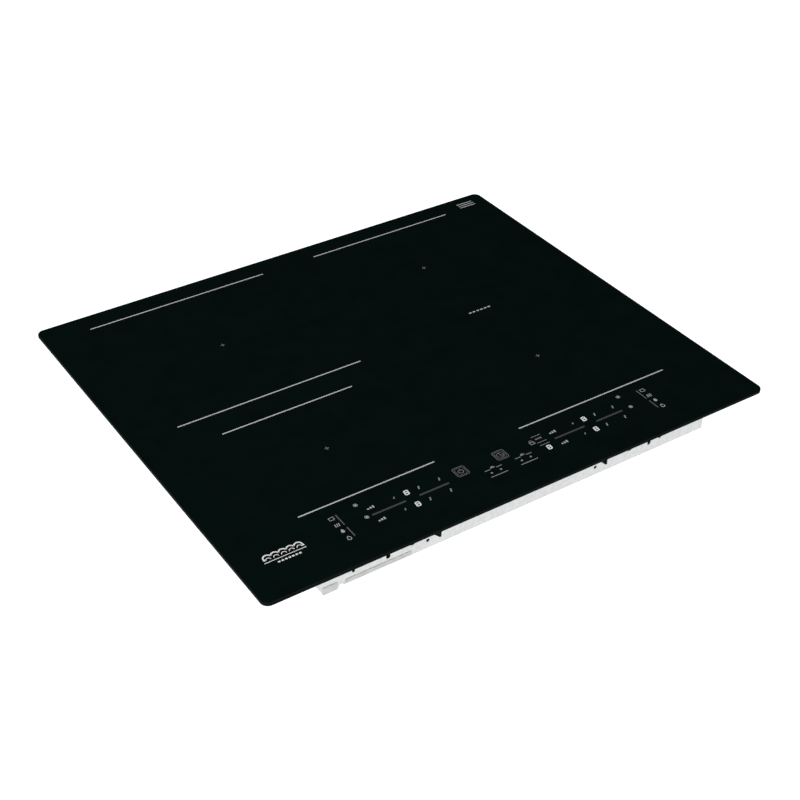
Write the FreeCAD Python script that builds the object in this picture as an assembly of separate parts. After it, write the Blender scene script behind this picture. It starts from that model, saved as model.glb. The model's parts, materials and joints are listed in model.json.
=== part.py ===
import FreeCAD, Part
import math
import os

# Induction hob for a worktop cut-out of 560 x 480 mm. Millimetres. +Z is up, the control strip faces -Y,
# and the origin lies under the middle of the base pan's floor.

V = FreeCAD.Vector
UP, ALONG_X, ALONG_Y = V(0, 0, 1), V(1, 0, 0), V(0, 1, 0)

# ---- Driving dimensions ----
HEIGHT = 54.0
GLASS_W, GLASS_D, GLASS_T, GLASS_R = 590.0, 510.0, 4.0, 8.0
GLASS_TOP_EDGE, GLASS_LOW_EDGE = 0.6, 0.3
SEAL_MARGIN, SEAL_W, SEAL_T = 4.0, 8.0, 2.5

SHEET = 0.8  # galvanised sheet of the frame, the pan and the rail
FRAME_W, FRAME_D, FRAME_R = 556.0, 478.0, 4.0
FRAME_Z = 36.0  # underside of the frame's shelf
FRAME_LIP = 8.0
OPENING_X, OPENING_Y0, OPENING_Y1 = 220.0, -230.0, 220.0

PAN_W, PAN_BEND_R = 458.0, 1.6
PAN_FRONT, PAN_BACK = -FRAME_D / 2, 228.0
PAN_STEP_Y, PAN_STEP_Z = -205.0, 20.0  # the pan is shallow in front of this line
PAN_FLANGE_W = 12.0
PAN_SCREW_X, PAN_SCREWS_Y = 235.0, (-180.0, -60.0, 60.0, 180.0)
BEADS_X, BEAD_R, BEAD_CENTRE_Z = (-190.0, -95.0, -45.0, 45.0, 95.0, 190.0), 5.0, -3.4
SLOT_HALF = 1.75  # half the width of every air slot
SLOT_PITCH = 8.0
NOTCH_PITCH = 200.0  # the front wall's notches and holes repeat at this distance
NOTCH_EDGE_X, NOTCH_FLOOR_Z, NOTCH_TOP_W, NOTCH_LOW_W = 101.5, 27.4, 12.0, 1.8
PIN_HOLE_DX, PIN_HOLE_R, PIN_HOLE_Z = -15.5, 1.9, 30.2
# centre x, width and the lowest point of the open slots in the front wall
WALL_SLOTS = (
    (-195.2, 3.2, 30.6),
    (-157.8, 4.6, 28.9),
    (-131.0, 6.0, 32.2),
    (130.0, 6.0, 32.2),
    (155.6, 4.2, 29.3),
    (169.8, 4.0, 31.8),
)
FOOT_X0, FOOT_X1, FOOT_T, FOOT_LIP = -228.6, -212.0, 1.0, 0.5
FOOT_LIP_Z = 27.5
FOOT_NICK_X, FOOT_NICK_W, FOOT_NICK_Z = -208.0, 6.0, 23.0  # the opening in the wall beside the foot
GUARD_X0, GUARD_X1, GUARD_Z0, GUARD_Z1, GUARD_T = -204.0, -132.0, 21.6, 26.4, 0.4

RAIL_W, RAIL_Z = 44.0, 26.0
RAIL_SCREWS_Y = (-234.0, 223.8)
RAIL_TAB_W, RAIL_WINDOWS_Y = 36.0, (-120.0, -25.0, 100.0)

PLATE_Z, PLATE_T, PLATE_LIP = 40.4, 1.2, 3.0
PLATE_X0, PLATE_X1, PLATE_Y0, PLATE_Y1 = 6.0, 264.0, -172.0, 231.0
SPRINGS_X, SPRINGS_Y, SPRING_HALF, SPRING_W, LEAF_T = (14.5, 234.0), (-144.0, 29.0, 205.0), 14.0, 7.0, 0.5
# name: centre x, centre y, winding radius
ZONES = {
    "rear_left": (-136.0, 122.0, 100.0),
    "front_left": (-136.0, -95.0, 72.0),
    "rear_right": (136.0, 138.0, 88.0),
    "front_right": (136.0, -79.0, 88.0),
}
COIL_INNER_R, COIL_HUB_R, SENSOR_R = 24.0, 22.0, 8.0
DISC_Z, DISC_T, WINDING_Z, WINDING_TOP = 44.4, 1.0, 45.4, 49.0
MICA_T, LITZ_PITCH = 0.6, 4.0
FERRITE_W, FERRITE_T, FERRITE_COUNT = 12.0, 2.4, 8

BOARD_Z, BOARD_T = 8.0, 1.6
BOARD_TOP = BOARD_Z + BOARD_T
BOARD_X0, BOARD_X1, BOARD_Y0, BOARD_Y1 = 26.0, 218.0, -170.0, 96.0
FILTER_X, FILTER_Y0, FILTER_Y1 = 98.0, 106.0, 200.0
POWER_POSTS = [(x, y) for x in (32.0, 112.0) for y in (-162.0, 88.0)]
FILTER_POSTS = [(x, y) for x in (-90.0, 90.0) for y in (112.0, 190.0)]
SINK_X0, SINK_X1, SINK_Y0, SINK_Y1, SINK_TOP = 131.0, 208.0, -140.0, 64.0, 31.6
FIN_COUNT, FIN_PITCH, FIN_T = 13, 6.3, 1.6

FAN_X, FAN_Y, FAN_TOP = 160.0, 164.0, 28.0
FAN_CASE_R, FAN_WALL, IMPELLER_R, SHAFT_R = 43.0, 1.6, 38.0, 1.5
FAN_MOUTH_Y, FAN_MOUTH_HALF = 112.0, 40.0
EAR_DX, EAR_DY, EAR_R, EAR_T = 44.0, 22.0, 5.0, 4.0
BLADE_COUNT, BLADE_T = 26, 0.9
DUCT_X0, DUCT_X1, DUCT_Y0, DUCT_TOP, DUCT_WALL = 118.0, 212.0, -166.0, 34.4, 1.4

TERMINAL_X, TERMINAL_W, TERMINAL_Z0, TERMINAL_Z1, TERMINAL_DEPTH = 60.0, 76.0, 7.0, 29.0, 26.0
COVER_T, COVER_PIVOT_Z, COVER_PIVOT_OUT, COVER_PIN_R = 1.8, 32.4, 3.2, 1.4
CABLE_X, CABLE_Z, CABLE_BORE_R, CABLE_BUSH_R = -40.0, 18.0, 5.5, 9.0

CARRIER_X, CARRIER_Y0, CARRIER_Y1, CARRIER_Z0, CARRIER_Z1 = 205.0, -228.0, -178.0, 38.0, 49.6
CONTROL_SHIFT = 213.8  # from the left group of controls to the right one
CONTROL_BOARD_Z = 43.6
SLIDER_Y = -205.0

CLIP_Y, CLIP_W, CLIP_T = 150.0, 16.0, 0.6
CLIP_PIVOT_Z = 46.0


# ---- Plain helpers ----
def box(x0, x1, y0, y1, z0, z1):
    """A block between two opposite corners."""
    return Part.makeBox(x1 - x0, y1 - y0, z1 - z0, V(x0, y0, z0))


def rod(radius, x, y, z0, z1):
    """An upright cylinder."""
    return Part.makeCylinder(radius, z1 - z0, V(x, y, z0))


def ring(outer_r, inner_r, x, y, z0, z1):
    """An upright tube."""
    return rod(outer_r, x, y, z0, z1).cut(rod(inner_r, x, y, z0 - 1, z1 + 1))


def slab(width, depth, z0, z1, radius):
    """A block centred on the origin, with rounded upright corners."""
    block = box(-width / 2, width / 2, -depth / 2, depth / 2, z0, z1)
    upright = [e for e in block.Edges if abs(e.tangentAt(e.FirstParameter).z) > 0.9]
    return block.makeFillet(radius, upright)


def prism(points, direction):
    """A flat outline, given as corner points, pushed along a direction."""
    return Part.Face(Part.makePolygon(points + points[:1])).extrude(direction)


def join(shapes):
    """Touching pieces of one solid."""
    return shapes[0].fuse(shapes[1:]).removeSplitter()


def drill(shape, tools):
    """The shape with all the tools taken away."""
    return shape.cut(Part.makeCompound(tools))


def group(shapes):
    """Separate pieces that share a node."""
    return Part.makeCompound(shapes)


def mirrored(shape):
    """The same piece on the other side of the hob."""
    return shape.mirror(V(0, 0, 0), ALONG_X)


def both_sides(shape):
    """The piece and its mirror image, in one node."""
    return group([shape, mirrored(shape)])


def turned(shape, angle, x, y):
    """A copy turned about an upright axis."""
    return shape.rotated(V(x, y, 0), UP, angle)


# ---- Glass, seal and frame ----
def glass_top():
    glass_z = HEIGHT - GLASS_T
    glass = slab(GLASS_W, GLASS_D, glass_z, HEIGHT, GLASS_R)
    top = [e for e in glass.Edges if e.BoundBox.ZMin > HEIGHT - 0.01]
    glass = glass.makeFillet(GLASS_TOP_EDGE, top)
    low = [e for e in glass.Edges if e.BoundBox.ZMax < glass_z + 0.01]
    return glass.makeChamfer(GLASS_LOW_EDGE, low)


def edge_seal():
    z1 = HEIGHT - GLASS_T
    z0 = z1 - SEAL_T
    outer = slab(GLASS_W - 2 * SEAL_MARGIN, GLASS_D - 2 * SEAL_MARGIN, z0, z1, GLASS_R)
    inset = 2 * (SEAL_MARGIN + SEAL_W)
    return outer.cut(slab(GLASS_W - inset, GLASS_D - inset, z0 - 1, z1 + 1, GLASS_R / 2))


def upper_frame():
    """The folded ring that carries the glass: a shelf, an upright wall and a lip under the glass."""
    top = HEIGHT - GLASS_T
    body = slab(FRAME_W, FRAME_D, FRAME_Z, top, FRAME_R)
    body = body.cut(
        slab(FRAME_W - 2 * SHEET, FRAME_D - 2 * SHEET, FRAME_Z + SHEET, top - SHEET, FRAME_R - SHEET)
    )
    tools = [
        box(-OPENING_X, OPENING_X, OPENING_Y0, OPENING_Y1, FRAME_Z - 1, FRAME_Z + 2),
        slab(FRAME_W - 2 * FRAME_LIP, FRAME_D - 2 * FRAME_LIP, top - 2, top + 1, 4.0),
    ]
    z0, z1 = FRAME_Z - 1, FRAME_Z + 2
    clip_gap = CLIP_W / 2 + 1.5
    for side in (-1, 1):
        edge, vent_x = side * FRAME_W / 2, side * 257.0
        for y in (-CLIP_Y, CLIP_Y):
            tools.append(box(edge - 3, edge + 3, y - clip_gap, y + clip_gap, z0, CLIP_PIVOT_Z - 1))
        tools += [rod(2.1, side * PAN_SCREW_X, y, z0, z1) for y in PAN_SCREWS_Y]
        for n in range(-4, 5):
            y = n * 40.0
            tools.append(box(vent_x - 9, vent_x + 9, y - SLOT_HALF, y + SLOT_HALF, z0, z1))
    tools += [rod(1.7, 0, y, z0, z1) for y in RAIL_SCREWS_Y]
    return drill(body, tools)


# ---- Base pan ----
def pan_block(inset):
    """The pan as a solid block, drawn in by inset on every side: a shallow front and a deep body."""
    half = PAN_W / 2 - inset
    front, back = PAN_FRONT + inset, PAN_BACK - inset
    top = FRAME_Z + (20.0 if inset else 0.0)
    profile = [
        V(-half, front, top),
        V(-half, front, PAN_STEP_Z + inset),
        V(-half, PAN_STEP_Y + inset, PAN_STEP_Z + inset),
        V(-half, PAN_STEP_Y + inset, inset),
        V(-half, back, inset),
        V(-half, back, top),
    ]
    block = prism(profile, V(2 * half, 0, 0))
    bends = [e for e in block.Edges if e.CenterOfMass.z < top - 0.01]
    return block.makeFillet(PAN_BEND_R - inset, bends)


def floor_bead(x, y0, y1, inset):
    """A stiffening bead pressed up into the pan's floor, along Y, with round ends."""
    radius = BEAD_R + inset
    parts = [Part.makeCylinder(radius, y1 - y0, V(x, y0, BEAD_CENTRE_Z), ALONG_Y)]
    parts += [Part.makeSphere(radius, V(x, y, BEAD_CENTRE_Z)) for y in (y0, y1)]
    return join(parts)


def floor_beads(inset):
    """All beads. The outer ones stop short of the fans' inlets."""
    beads = []
    for x in BEADS_X:
        outer = abs(x) > FAN_X
        beads.append(floor_bead(x, -150.0 if outer else -170.0, 96.0 if outer else 60.0, inset))
    return beads


def front_wall_cuts():
    """The notches, slots and holes of the front wall, which all reach through the sheet."""
    y0, y1 = PAN_FRONT - 1, PAN_FRONT + 2
    through = V(0, y1 - y0, 0)
    top = FRAME_Z + 1
    cuts = []
    for edge_x in (NOTCH_EDGE_X - NOTCH_PITCH, NOTCH_EDGE_X):
        notch = [
            V(edge_x, y0, NOTCH_FLOOR_Z),
            V(edge_x, y0, top),
            V(edge_x - NOTCH_TOP_W, y0, top),
            V(edge_x - NOTCH_LOW_W, y0, NOTCH_FLOOR_Z),
        ]
        cuts.append(prism(notch, through))
        hole_x = edge_x + PIN_HOLE_DX
        cuts.append(Part.makeCylinder(PIN_HOLE_R, y1 - y0, V(hole_x, y0, PIN_HOLE_Z), ALONG_Y))
    for x, width, low_z in WALL_SLOTS:
        cuts.append(box(x - width / 2, x + width / 2, y0, y1, low_z + width / 2, top))
        cuts.append(Part.makeCylinder(width / 2, y1 - y0, V(x, y0, low_z + width / 2), ALONG_Y))
    nick_x0 = FOOT_NICK_X - FOOT_NICK_W / 2
    cuts.append(box(nick_x0, nick_x0 + FOOT_NICK_W, y0, y1 + 1.5, PAN_STEP_Z - 1, FOOT_NICK_Z))
    return cuts


def fan_inlet(x, y):
    """Parallel air slots that fill a circle under a fan, with a bridge across the middle."""
    inlet_r, half_bridge = 31.0, 1.5
    cuts = []
    for n in range(-4, 5):
        offset = n * 7.0
        slot_x = x + offset
        reach = math.sqrt(inlet_r**2 - offset**2)
        for y0, y1 in ((y - reach, y - half_bridge), (y + half_bridge, y + reach)):
            cuts.append(box(slot_x - SLOT_HALF, slot_x + SLOT_HALF, y0, y1, -1, 2))
    return cuts


def vent_row(x0, x1, y0, y1, z0, z1):
    """A row of air slots along X, between the first and the last slot's centre."""
    count = int((x1 - x0) / SLOT_PITCH) + 1
    centres = [x0 + n * SLOT_PITCH for n in range(count)]
    return [box(x - SLOT_HALF, x + SLOT_HALF, y0, y1, z0, z1) for x in centres]


def base_pan():
    outer = drill(pan_block(0.0), floor_beads(0.0))
    pan = outer.cut(drill(pan_block(SHEET), floor_beads(SHEET)))
    flanges = []
    for side in (-1, 1):
        x0, x1 = sorted((side * (PAN_W / 2 - SHEET / 2), side * (PAN_W / 2 + PAN_FLANGE_W)))
        flanges.append(box(x0, x1, PAN_STEP_Y + 5, PAN_BACK - 4, FRAME_Z - SHEET, FRAME_Z))
    pan = join([pan] + flanges)
    back = PAN_BACK
    tools = front_wall_cuts() + fan_inlet(FAN_X, FAN_Y) + fan_inlet(-FAN_X, FAN_Y)
    tools += vent_row(-196, 196, PAN_STEP_Y - 1, PAN_STEP_Y + 2, 5, 15)
    tools += vent_row(-80, 80, 202, 218, -1, 2)
    tools += vent_row(-204, -132, back - 2, back + 1, 12, 28)
    tools += vent_row(140, 204, back - 2, back + 1, 12, 28)
    terminal_x0 = TERMINAL_X - TERMINAL_W / 2
    tools.append(box(terminal_x0, terminal_x0 + TERMINAL_W, back - 2, back + 1, TERMINAL_Z0, TERMINAL_Z1))
    tools.append(Part.makeCylinder(CABLE_BUSH_R, 4, V(CABLE_X, back - 2, CABLE_Z), ALONG_Y))
    for side in (-1, 1):
        wall_x = side * PAN_W / 2
        tools += [rod(1.7, side * PAN_SCREW_X, y, FRAME_Z - 2, FRAME_Z + 1) for y in PAN_SCREWS_Y]
        for n in range(12):
            y = -150.0 + n * 12.0
            tools.append(box(wall_x - 2, wall_x + 2, y - SLOT_HALF, y + SLOT_HALF, 8, 30))
    return drill(pan, tools)


def front_foot():
    """The moulded foot at the left end of the front wall, and the thin guard strip beside it."""
    z0, front = PAN_STEP_Z - FOOT_T, PAN_FRONT - FOOT_LIP
    lip = box(FOOT_X0, FOOT_X1, front, PAN_FRONT, z0, FOOT_LIP_Z)
    corners = [e for e in lip.Edges if e.BoundBox.YLength > FOOT_LIP / 2 and e.BoundBox.ZLength < 0.1]
    corners = [e for e in corners if abs(e.tangentAt(e.FirstParameter).y) > 0.9]
    sole = box(FOOT_X0 + 2, FOOT_X1 - 2, PAN_FRONT - 0.2, PAN_FRONT + 24, z0, PAN_STEP_Z)
    guard = box(GUARD_X0, GUARD_X1, PAN_FRONT - GUARD_T, PAN_FRONT, GUARD_Z0, GUARD_Z1)
    ends = [e for e in guard.Edges if e.BoundBox.YLength > GUARD_T / 2 and e.BoundBox.XLength < 0.1]
    ends = [e for e in ends if abs(e.tangentAt(e.FirstParameter).y) > 0.9]
    return group([join([lip.makeFillet(1.6, corners), sole]), guard.makeFillet(1.2, ends)])


def centre_rail():
    """A channel from front to back that carries the inner edges of the coil plates."""
    half, tab_half, top = RAIL_W / 2, RAIL_TAB_W / 2, FRAME_Z + SHEET
    y0, y1 = OPENING_Y0 + 0.4, OPENING_Y1 - 0.4
    parts = [box(-half, half, y0, y1, top - SHEET, top)]
    for side in (-1, 1):
        x0, x1 = sorted((side * half, side * (half - SHEET)))
        parts.append(box(x0, x1, y0 + 30, y1 - 30, RAIL_Z, top))
    for end, tab_end in ((y0, PAN_FRONT + 1.4), (y1, PAN_BACK - 1.2)):
        inward = end + (SHEET if tab_end < end else -SHEET)
        tab0, tab1 = sorted((inward, tab_end))
        parts.append(box(-tab_half, tab_half, tab0, tab1, FRAME_Z - SHEET, FRAME_Z))
        step0, step1 = sorted((inward, end))
        parts.append(box(-tab_half, tab_half, step0, step1, FRAME_Z - SHEET, top))
    holes = [rod(1.5, 0, y, FRAME_Z - 2, FRAME_Z + 1) for y in RAIL_SCREWS_Y]
    window = slab(24.0, 60.0, FRAME_Z - 1, top + 1, 6.0)
    return drill(join(parts), holes + [window.translated(V(0, y, 0)) for y in RAIL_WINDOWS_Y])


# ---- Coil decks ----
def side_zones(side):
    """The zones on one side: side is -1 for left and 1 for right."""
    return [zone for zone in ZONES.values() if zone[0] * side > 0]


def coil_plate(side):
    """The aluminium plate under two coils, with a lip all round and holes for air, leads and sensors."""
    x0, x1 = sorted((side * PLATE_X0, side * PLATE_X1))
    z1 = PLATE_Z + PLATE_T
    plate = box(x0, x1, PLATE_Y0, PLATE_Y1, PLATE_Z, z1 + PLATE_LIP)
    upright = [e for e in plate.Edges if abs(e.tangentAt(e.FirstParameter).z) > 0.9]
    plate = plate.makeFillet(5.0, upright)
    inner = box(x0 + PLATE_T, x1 - PLATE_T, PLATE_Y0 + PLATE_T, PLATE_Y1 - PLATE_T, z1, z1 + PLATE_LIP + 1)
    upright = [e for e in inner.Edges if abs(e.tangentAt(e.FirstParameter).z) > 0.9]
    plate = plate.cut(inner.makeFillet(5.0 - PLATE_T, upright))
    tools = []
    for x, y, radius in side_zones(side):
        tools.append(rod(SENSOR_R + 4, x, y, PLATE_Z - 1, z1 + 1))
        for n in range(FERRITE_COUNT):
            slot = box(x + COIL_HUB_R + 12, x + radius - 12, y - 2.5, y + 2.5, PLATE_Z - 1, z1 + 1)
            tools.append(turned(slot, (n + 0.5) * 360 / FERRITE_COUNT, x, y))
    tools += [rod(2.2, side * 24.0, y, PLATE_Z - 1, z1 + 1) for y in (-136.0, 39.0, 226.0)]
    return drill(plate, tools)


def coil_former(x, y, radius):
    """The moulded carrier of one winding: a disc with a hub, a rim and pockets for the ferrite bars."""
    z0 = PLATE_Z + PLATE_T
    parts = [
        ring(radius + 2, SENSOR_R + 0.4, x, y, DISC_Z, DISC_Z + DISC_T),
        ring(radius + 2, radius + 0.4, x, y, z0, WINDING_TOP),
        ring(COIL_HUB_R, COIL_HUB_R - 2, x, y, z0, WINDING_TOP),
    ]
    wall = 1.0
    for n in range(FERRITE_COUNT):
        for side in (-1, 1):
            near = side * (FERRITE_W / 2 + 0.2)
            y0, y1 = sorted((y + near, y + near + side * wall))
            rib = box(x + COIL_HUB_R - 1, x + radius + 1, y0, y1, z0, DISC_Z + 0.5)
            parts.append(turned(rib, n * 360 / FERRITE_COUNT, x, y))
    return join(parts)


def coil_winding(x, y, radius):
    """The litz spiral as one ring, with a groove between neighbouring turns on its upper side."""
    turns = round((radius - COIL_INNER_R) / LITZ_PITCH)
    pitch = (radius - COIL_INNER_R) / turns
    points = [V(COIL_INNER_R, 0, WINDING_Z)]
    for n in range(turns):
        start = COIL_INNER_R + n * pitch
        points.append(V(start, 0, WINDING_TOP - 1.2))
        points.append(V(start + 0.3 * pitch, 0, WINDING_TOP))
        points.append(V(start + 0.7 * pitch, 0, WINDING_TOP))
    points += [V(radius, 0, WINDING_TOP - 1.2), V(radius, 0, WINDING_Z)]
    face = Part.Face(Part.makePolygon(points + points[:1]))
    return face.revolve(V(0, 0, 0), UP, 360).translated(V(x, y, 0))


def ferrite_bars(x, y, radius):
    z0 = DISC_Z - FERRITE_T
    bar = box(x + COIL_HUB_R + 2, x + radius - 2, y - FERRITE_W / 2, y + FERRITE_W / 2, z0, DISC_Z)
    return group([turned(bar, n * 360 / FERRITE_COUNT, x, y) for n in range(FERRITE_COUNT)])


def mica_disc(x, y, radius):
    """The insulating disc on a winding, with three notches for the fingers of the former."""
    z0, z1 = WINDING_TOP, WINDING_TOP + MICA_T
    disc = ring(radius + 2, SENSOR_R + 2, x, y, z0, z1)
    notch = box(x + radius - 2, x + radius + 4, y - 3, y + 3, z0 - 1, z1 + 1)
    return drill(disc, [turned(notch, n * 120 + 15, x, y) for n in range(3)])


def temperature_sensor(x, y):
    """The sensor bead's boot, which stands in the middle of the coil and faces the glass."""
    z1 = WINDING_TOP + MICA_T
    parts = [
        rod(SENSOR_R, x, y, PLATE_Z + PLATE_T, z1 - 0.6),
        rod(SENSOR_R + 3, x, y, DISC_Z + DISC_T, DISC_Z + DISC_T + 1.2),
        rod(4.0, x, y, z1 - 1, z1),
    ]
    return join(parts)


def plate_springs():
    """Arched leaf springs that press the coil plates up: outer ones on the shelf, inner ones on the rail."""
    base, half = FRAME_Z + SHEET, SPRING_HALF
    near = half - 1.6  # the inner face meets the base this far from the middle
    outer = Part.Arc(V(0, -half, base), V(0, 0, PLATE_Z), V(0, half, base)).toShape()
    inner = Part.Arc(V(0, near, base), V(0, 0, PLATE_Z - LEAF_T), V(0, -near, base)).toShape()
    ends = [
        Part.LineSegment(V(0, half, base), V(0, near, base)).toShape(),
        Part.LineSegment(V(0, -near, base), V(0, -half, base)).toShape(),
    ]
    face = Part.Face(Part.Wire([outer, ends[0], inner, ends[1]]))
    spring = face.extrude(V(SPRING_W, 0, 0))
    leaves = []
    for side in (-1, 1):
        for x in SPRINGS_X:
            leaves += [spring.translated(V(side * x - SPRING_W / 2, y, 0)) for y in SPRINGS_Y]
    return group(leaves)


# ---- Electronics ----
def insulating_sheet():
    """The sheet between the pan and the boards, with the posts the boards stand on."""
    z0, z1 = 2.6, 3.0
    sheet = slab(440.0, 380.0, z0, z1, 4.0).translated(V(0, 8, 0))
    fan_gaps = [box(side * FAN_X - 50, side * FAN_X + 50, 110, 210, z0 - 1, z1 + 1) for side in (-1, 1)]
    places = POWER_POSTS + [(-x, y) for x, y in POWER_POSTS] + FILTER_POSTS
    return join([drill(sheet, fan_gaps)] + [rod(3.0, x, y, z1, BOARD_Z) for x, y in places])


def power_board():
    """The right power board. Its screw holes stand over the posts."""
    board = box(BOARD_X0, BOARD_X1, BOARD_Y0, BOARD_Y1, BOARD_Z, BOARD_TOP)
    holes = [rod(1.6, x, y, BOARD_Z - 1, BOARD_TOP + 1) for x, y in POWER_POSTS]
    parts = [drill(board, holes)]
    for row in range(3):
        for column in range(2):
            x, y = 84.0 + column * 16, -54.0 + row * 22
            parts.append(box(x, x + 9, y, y + 14, BOARD_TOP, BOARD_TOP + 2.2))
    parts += [rod(5.0, 100.0, y, BOARD_TOP, BOARD_TOP + 16) for y in (24.0, 38.0, 52.0)]
    parts.append(box(60, 92, 78, 86, BOARD_TOP, BOARD_TOP + 9))
    return join(parts)


def filter_board():
    board = box(-FILTER_X, FILTER_X, FILTER_Y0, FILTER_Y1, BOARD_Z, BOARD_TOP)
    holes = [rod(1.6, x, y, BOARD_Z - 1, BOARD_TOP + 1) for x, y in FILTER_POSTS]
    fuse = Part.makeCylinder(3.0, 22.0, V(-80, 150, BOARD_TOP + 3.4), ALONG_Y)
    clips = [box(-84, -76, y, y + 5, BOARD_TOP, BOARD_TOP + 5) for y in (150.0, 167.0)]
    return join([drill(board, holes), fuse] + clips)


def heat_sink():
    """The right heat sink: a thick foot with upright fins along the air stream."""
    parts = [box(SINK_X0, SINK_X1, SINK_Y0, SINK_Y1, BOARD_TOP, BOARD_TOP + 5)]
    for n in range(FIN_COUNT):
        x = SINK_X0 + n * FIN_PITCH
        parts.append(box(x, x + FIN_T, SINK_Y0, SINK_Y1, BOARD_TOP + 4, SINK_TOP))
    return join(parts)


def power_transistors():
    """Flat packages that stand against the heat sinks' inner sides, with their legs in the boards."""
    packages = []
    for n in range(5):
        y = SINK_Y0 + 12.0 + n * 36.0
        body = box(SINK_X0 - 5, SINK_X0, y, y + 16, BOARD_TOP + 3.5, BOARD_TOP + 22)
        leg = box(SINK_X0 - 3, SINK_X0 - 2.2, y + 2.5, y + 3.7, BOARD_TOP, BOARD_TOP + 4)
        packages.append(join([body] + [leg.translated(V(0, k * 5.0, 0)) for k in range(3)]))
    return group(packages + [mirrored(p) for p in packages])


def film_capacitors():
    """Boxed capacitors: a row on each power board and two pairs on the filter board."""
    rows_y = [-150.0 + n * 32.0 for n in range(6)]
    row = [box(30, 62, y, y + 24, BOARD_TOP, BOARD_TOP + 25) for y in rows_y]
    row += [box(28, 60, y, y + 16, BOARD_TOP, BOARD_TOP + 20) for y in (116.0, 168.0)]
    return group(row + [mirrored(c) for c in row])


def chokes():
    """Ring chokes: two on the filter board and one on each power board."""
    places = [(-2.0, 150.0, 18.0, 8.0), (95.0, -80.0, 13.0, 5.5), (-95.0, -80.0, 13.0, 5.5)]
    rings = []
    for x, y, ring_r, wire_r in places:
        rings.append(Part.makeTorus(ring_r, wire_r, V(x, y, BOARD_TOP + wire_r)))
    return group(rings)


def relays():
    row = [box(72, 101, y, y + 13, BOARD_TOP, BOARD_TOP + 16) for y in (-152.0, -134.0, -116.0)]
    return group(row + [mirrored(r) for r in row])


# ---- Fans and ducts ----
def fan_outline(radius, mouth_half, mouth_y, z0, z1):
    """A round case with a straight mouth towards the front."""
    round_part = rod(radius, FAN_X, FAN_Y, z0, z1)
    return join([round_part, box(FAN_X - mouth_half, FAN_X + mouth_half, mouth_y, FAN_Y, z0, z1)])


def fan_housing():
    """The right blower's case: open to the pan's inlet below and to the duct in front."""
    z0 = SHEET
    z1 = z0 + EAR_T
    case = fan_outline(FAN_CASE_R, FAN_MOUTH_HALF, FAN_MOUTH_Y, z0, FAN_TOP)
    low, high = z0 + FAN_WALL, FAN_TOP - FAN_WALL
    inner_r, inner_half = FAN_CASE_R - FAN_WALL, FAN_MOUTH_HALF - FAN_WALL
    hollow = fan_outline(inner_r, inner_half, FAN_MOUTH_Y - 2, low, high)
    ears = []
    tools = [hollow, rod(33.0, FAN_X, FAN_Y, z0 - 1, low + 1)]
    y = FAN_Y + EAR_DY
    for dx in (-EAR_DX, EAR_DX):
        x0, x1 = sorted((FAN_X + dx, FAN_X + dx * 0.75))
        ears.append(join([rod(EAR_R, FAN_X + dx, y, z0, z1), box(x0, x1, y - EAR_R, y + EAR_R, z0, z1)]))
        tools.append(rod(1.6, FAN_X + dx, y, z0 - 1, z1 + 1))
    return drill(join([case] + ears), tools)


def fan_motor():
    """The right blower's fixed core and shaft, which hang from the case's top."""
    top = FAN_TOP - FAN_WALL
    parts = [
        rod(14.0, FAN_X, FAN_Y, 12.5, top),
        rod(SHAFT_R, FAN_X, FAN_Y, 3.6, 13.0),
        rod(SHAFT_R + 1.2, FAN_X, FAN_Y, 3.4, 4.4),
    ]
    return join(parts)


def impeller():
    """The right blower's rotor: a cup on the shaft with forward-curved blades between two rings."""
    cup = [
        ring(18.0, 16.4, FAN_X, FAN_Y, 8.0, 23.0),
        ring(18.0, SHAFT_R + 0.05, FAN_X, FAN_Y, 8.0, 9.6),
        ring(5.0, SHAFT_R + 0.05, FAN_X, FAN_Y, 5.0, 8.5),
        ring(IMPELLER_R, 17.0, FAN_X, FAN_Y, 21.4, 23.0),
        ring(IMPELLER_R, IMPELLER_R - 3, FAN_X, FAN_Y, 6.0, 7.2),
    ]
    rim_x = FAN_X + IMPELLER_R
    places = ((-9.0, -2.4), (-4.5, -0.6), (-0.4, 3.0))  # from the blade's root to its tip
    arc = [V(rim_x + dx, FAN_Y + dy, 6.2) for dx, dy in places]
    back = [V(p.x - 0.35, p.y + BLADE_T, p.z) for p in reversed(arc)]
    blade = prism(arc + back, V(0, 0, 16.0))
    step = 360 / BLADE_COUNT
    return join(cup + [turned(blade, n * step, FAN_X, FAN_Y) for n in range(BLADE_COUNT)])


def air_duct():
    """The right duct: a cover over the heat sink that joins the blower's mouth."""
    x0, x1, y1 = DUCT_X0 + DUCT_WALL, DUCT_X1 - DUCT_WALL, FAN_MOUTH_Y - 0.4
    duct = box(DUCT_X0, DUCT_X1, DUCT_Y0, y1, BOARD_TOP, DUCT_TOP)
    return duct.cut(box(x0, x1, DUCT_Y0 - 1, y1 + 1, BOARD_TOP - 1, DUCT_TOP - DUCT_WALL))


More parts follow.
